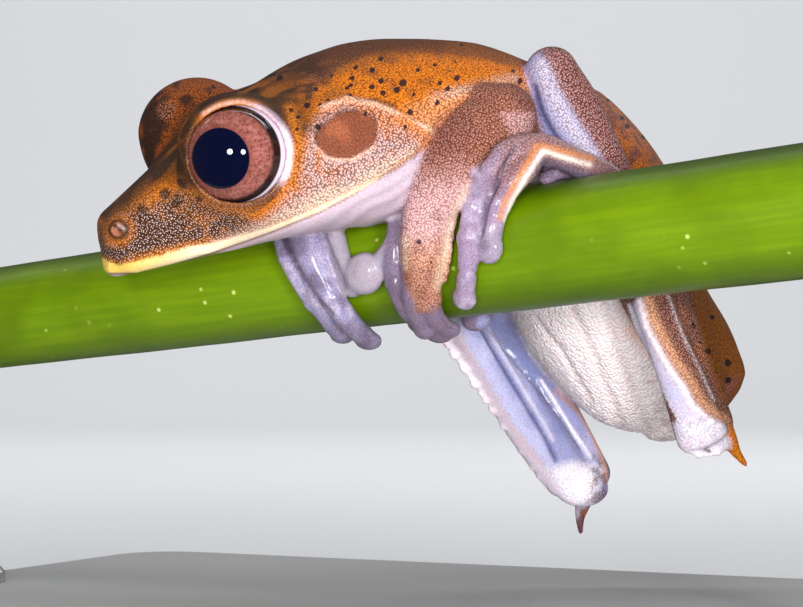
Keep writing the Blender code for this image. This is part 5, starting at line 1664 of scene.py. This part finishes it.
if triangles > SKIN_TRIANGLES:
    fine_share = skin.vertex_groups.new(name="fine")
    on_head = (parts == BODY) & (places[:, 0] < HEAD_END)
    away = normals[:, 1] > FACING_AWAY
    for i, weight in enumerate(np.where(away, 1.0, np.where(on_head, 0.2, 0.28))):
        fine_share.add((i,), float(weight), "REPLACE")
    thinner = skin.modifiers.new("thinner", "DECIMATE")
    thinner.ratio = SKIN_TRIANGLES / triangles
    thinner.vertex_group = "fine"
    thinner.vertex_group_factor = 1.0
    fix(skin)
    skin.vertex_groups.clear()

# Flat places for the shader's granules: each face is laid out as seen from the nearest of 26 sides
places = read(skin.data.vertices, "co", 3)
normals = softened(read(skin.data.vertices, "normal", 3), read(skin.data.edges, "vertices", 2, int), 8)
corners = read(skin.data.loops, "vertex_index", kind=int)
starts = read(skin.data.polygons, "loop_start", kind=int)
sizes = np.diff(np.append(starts, len(corners)))
outlooks = np.array([step for step in np.ndindex(3, 3, 3) if step != (1, 1, 1)]) - 1.0
outlooks /= np.linalg.norm(outlooks, axis=1)[:, None]
across = np.cross(outlooks, (0.31, 0.52, 0.79))
across /= np.linalg.norm(across, axis=1)[:, None]
upward = np.cross(outlooks, across)
outlook = np.argmax(np.add.reduceat(normals[corners], starts, axis=0) @ outlooks.T, axis=1)
outlook = np.repeat(outlook, sizes)
flat = np.stack([(places[corners] * way[outlook]).sum(axis=1) for way in (across, upward)], axis=1)
flat = flat / GRANULE
flat_layer = skin.data.uv_layers.new(name="hide_flat")
flat_layer.uv.foreach_set("vector", flat.ravel())
skin.data.transform(placing)
skin.data.shade_smooth()
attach(skin, "root")
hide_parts(*[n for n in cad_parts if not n.startswith(("stand", "stem", "eye"))])

leather = Finish("frog_hide")
hide_place = leather.place()
tint = leather.node("ShaderNodeAttribute", {"attribute_name": "tint"}, {}, "Color")
mark = leather.node("ShaderNodeAttribute", {"attribute_name": "tint"}, {}, "Alpha")
trait = leather.node("ShaderNodeAttribute", {"attribute_name": "traits"}, {}, "Vector")
grain, stipple, wet = leather.parts(trait)
fine = leather.cloud(hide_place, 0.22, 2.0)
mottle = leather.cloud(hide_place, 0.8, 3.0)
pebble = leather.node("ShaderNodeAttribute", {"attribute_name": "traits"}, {}, "Alpha")
flat = leather.node("ShaderNodeUVMap", {"uv_map": "hide_flat"}, {})
granule = leather.cells(flat, 1.0, 0.8, "2D")
odds = leather.parts(leather.cells(flat, 1.0, 0.8, "2D", "Color"), "X")[0]
warts = leather.cells(flat, GRANULE / PEBBLE, 0.7, "2D")
dome = leather.ramp(granule, 0.62, 0.05)
crease_shade = leather.ramp(granule, 0.28, 0.62)
# Painted highlights: each granule's tip is lightened towards pale pink, more where grain is high, standing
# for light glinting on the wet granules. Grain also sets how high the granules stand.
tip = leather.ramp(granule, 0.33, 0.06) * (0.45 + 0.55 * odds)
bright = leather.mix(grain, leather.tinted(tint, TIP_HIGHLIGHT_GAIN), GRANULE_HIGHLIGHT)
shade = leather.mix(leather.ramp(mottle, 0.3, 0.7) * 0.22, tint, leather.tinted(tint, MOTTLE_RED))
# Fine noise darkens real speckles; then the creases between granules are darkened as painted shade.
shade = leather.mix(leather.ramp(fine, 0.55, 0.38) * stipple * 0.45, shade, SPECKLE_AND_CREASE_SHADE)
shade = leather.mix(crease_shade * stipple * 0.85, shade, SPECKLE_AND_CREASE_SHADE)
shade = leather.mix(tip * (0.2 + 0.7 * grain), shade, bright)
# Painted shade: the creases between the belly's pebbles are darkened and tinted pink.
shade = leather.mix(leather.ramp(warts, 0.42, 0.68) * pebble * 0.7, shade, leather.tinted(tint, CREASE_PINK_SHADE))
edge = leather.ramp(mark + 0.25 * fine + 0.35 * mottle, 0.70, 0.80)
shade = leather.mix(edge * 0.92, shade, SPOT_BLACK)
height = dome * (grain * 0.8 + 0.2) * (1 - wet * 0.7) * (1 - pebble) + 0.15 * fine
height = height + leather.ramp(warts, 0.70, 0.05) * pebble * 1.1
hide_finish = leather.set(base=shade, rough=0.55 - 0.25 * wet + 0.12 * mottle, gloss=0.12,
                          coat=wet * wet * 0.8, coat_rough=0.16, under=0.10,
                          under_radius=(1.0, 0.42, 0.28), under_scale=0.0006,
                          normal=leather.bump(height, 0.07))
skin.data.materials.clear()
skin.data.materials.append(hide_finish)

# Eyes: wet globes with a coppery iris, ringed dark, a large blue-black pupil that is set a
# little forward, and the white of the eye showing behind the iris.
IRIS_EDGE = 0.885
PUPIL_PLACE = (-0.165, 0.02)
PUPIL_SIZE = (0.545, 0.56)
CORNEA_EDGE = 0.55
CORNEA_BULGE = 0.35
VEIN_SCALE = 14.0
RAY_SCALE = 2.4
IRIS_DARK = (0.14, 0.034, 0.024)
IRIS_COPPER = (0.39, 0.128, 0.102)
IRIS_PALE = (0.50, 0.23, 0.20)
IRIS_RING = (0.014, 0.006, 0.008)
EYE_WHITE = (0.86, 0.78, 0.88)
EYE_PINK = (0.70, 0.58, 0.72)
PUPIL_BLUE = (0.0, 0.001, 0.014)
for label, side in (("left", -1), ("right", 1)):
    globe = ball(eye_centre(side), (EYE_RADIUS,) * 3, level=6)
    look = eye_way(EYE_SIGHT, side)
    for vert in globe.verts:
        way = (vert.co - eye_centre(side)).normalized()
        front = max(0.0, way.dot(look) - CORNEA_EDGE) / (1.0 - CORNEA_EDGE)
        vert.co = vert.co + look * CORNEA_BULGE * front * (2 - front)
    piece = settle("eye_globe_" + label, globe, "eye", "eye_" + label)
    iris = Finish("eye_" + label)
    gaze = turn_to(look, -head_back)
    centre = placing @ eye_centre(side)
    facing = (stem_turn.to_3x3() @ gaze).to_euler()
    local = iris.node("ShaderNodeMapping", {"vector_type": "TEXTURE"},
                      {"Vector": iris.place(), "Location": tuple(centre), "Rotation": tuple(facing),
                       "Scale": (EYE_RADIUS * MM,) * 3})
    x, y, z = iris.parts(local)
    radius = iris.root(x * x + y * y)
    in_front = iris.ramp(z, 0.0, 0.1)
    pupil_x = (x + PUPIL_PLACE[0]) * (1 / PUPIL_SIZE[0])
    pupil_y = (y + side * PUPIL_PLACE[1]) * (1 / PUPIL_SIZE[1])
    pupil = iris.root(pupil_x * pupil_x + pupil_y * pupil_y)
    veins = iris.node("ShaderNodeTexNoise", {},
                      {"Vector": local, "Scale": VEIN_SCALE, "Detail": 6.0, "Roughness": 0.85})
    angle = iris.node("ShaderNodeMath", {"operation": "ARCTAN2"}, {0: y, 1: x})
    fan = iris.node("ShaderNodeCombineXYZ", {}, {0: angle * 5.0, 1: radius * 3.0})
    streaks = iris.node("ShaderNodeTexNoise", {"noise_dimensions": "2D"},
                        {"Vector": fan, "Scale": RAY_SCALE, "Detail": 4.0})
    copper = iris.mix(iris.ramp(veins, 0.38, 0.60), IRIS_DARK, IRIS_COPPER)
    copper = iris.mix(iris.ramp(radius, 0.60, 0.86) * 0.35, copper, IRIS_DARK)
    copper = iris.mix(iris.ramp(streaks, 0.45, 0.8) * 0.45, copper, IRIS_PALE)
    copper = iris.mix(iris.ramp(pupil, 1.22, 1.03) * 0.5, copper, IRIS_DARK)
    white = iris.mix(iris.ramp(veins, 0.3, 0.7), EYE_WHITE, EYE_PINK)
    shade = iris.mix(iris.ramp(radius + x * -0.035, IRIS_EDGE - 0.11, IRIS_EDGE - 0.05), copper, IRIS_RING)
    shade = iris.mix(iris.ramp(radius, IRIS_EDGE, IRIS_EDGE + 0.025), shade, white)
    shade = iris.mix(iris.ramp(pupil, 1.02, 0.97), shade, PUPIL_BLUE)
    shade = iris.mix(in_front, white, shade)
    piece.data.materials.append(iris.set(base=shade, rough=0.3, gloss=0.0, coat=1.0, coat_rough=0.03,
                                         coat_ior=1.45))

lowest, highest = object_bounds()
sizes = {"cad": [list(cad_box[0]), list(cad_box[1])], "visual": [list(lowest), list(highest)]}
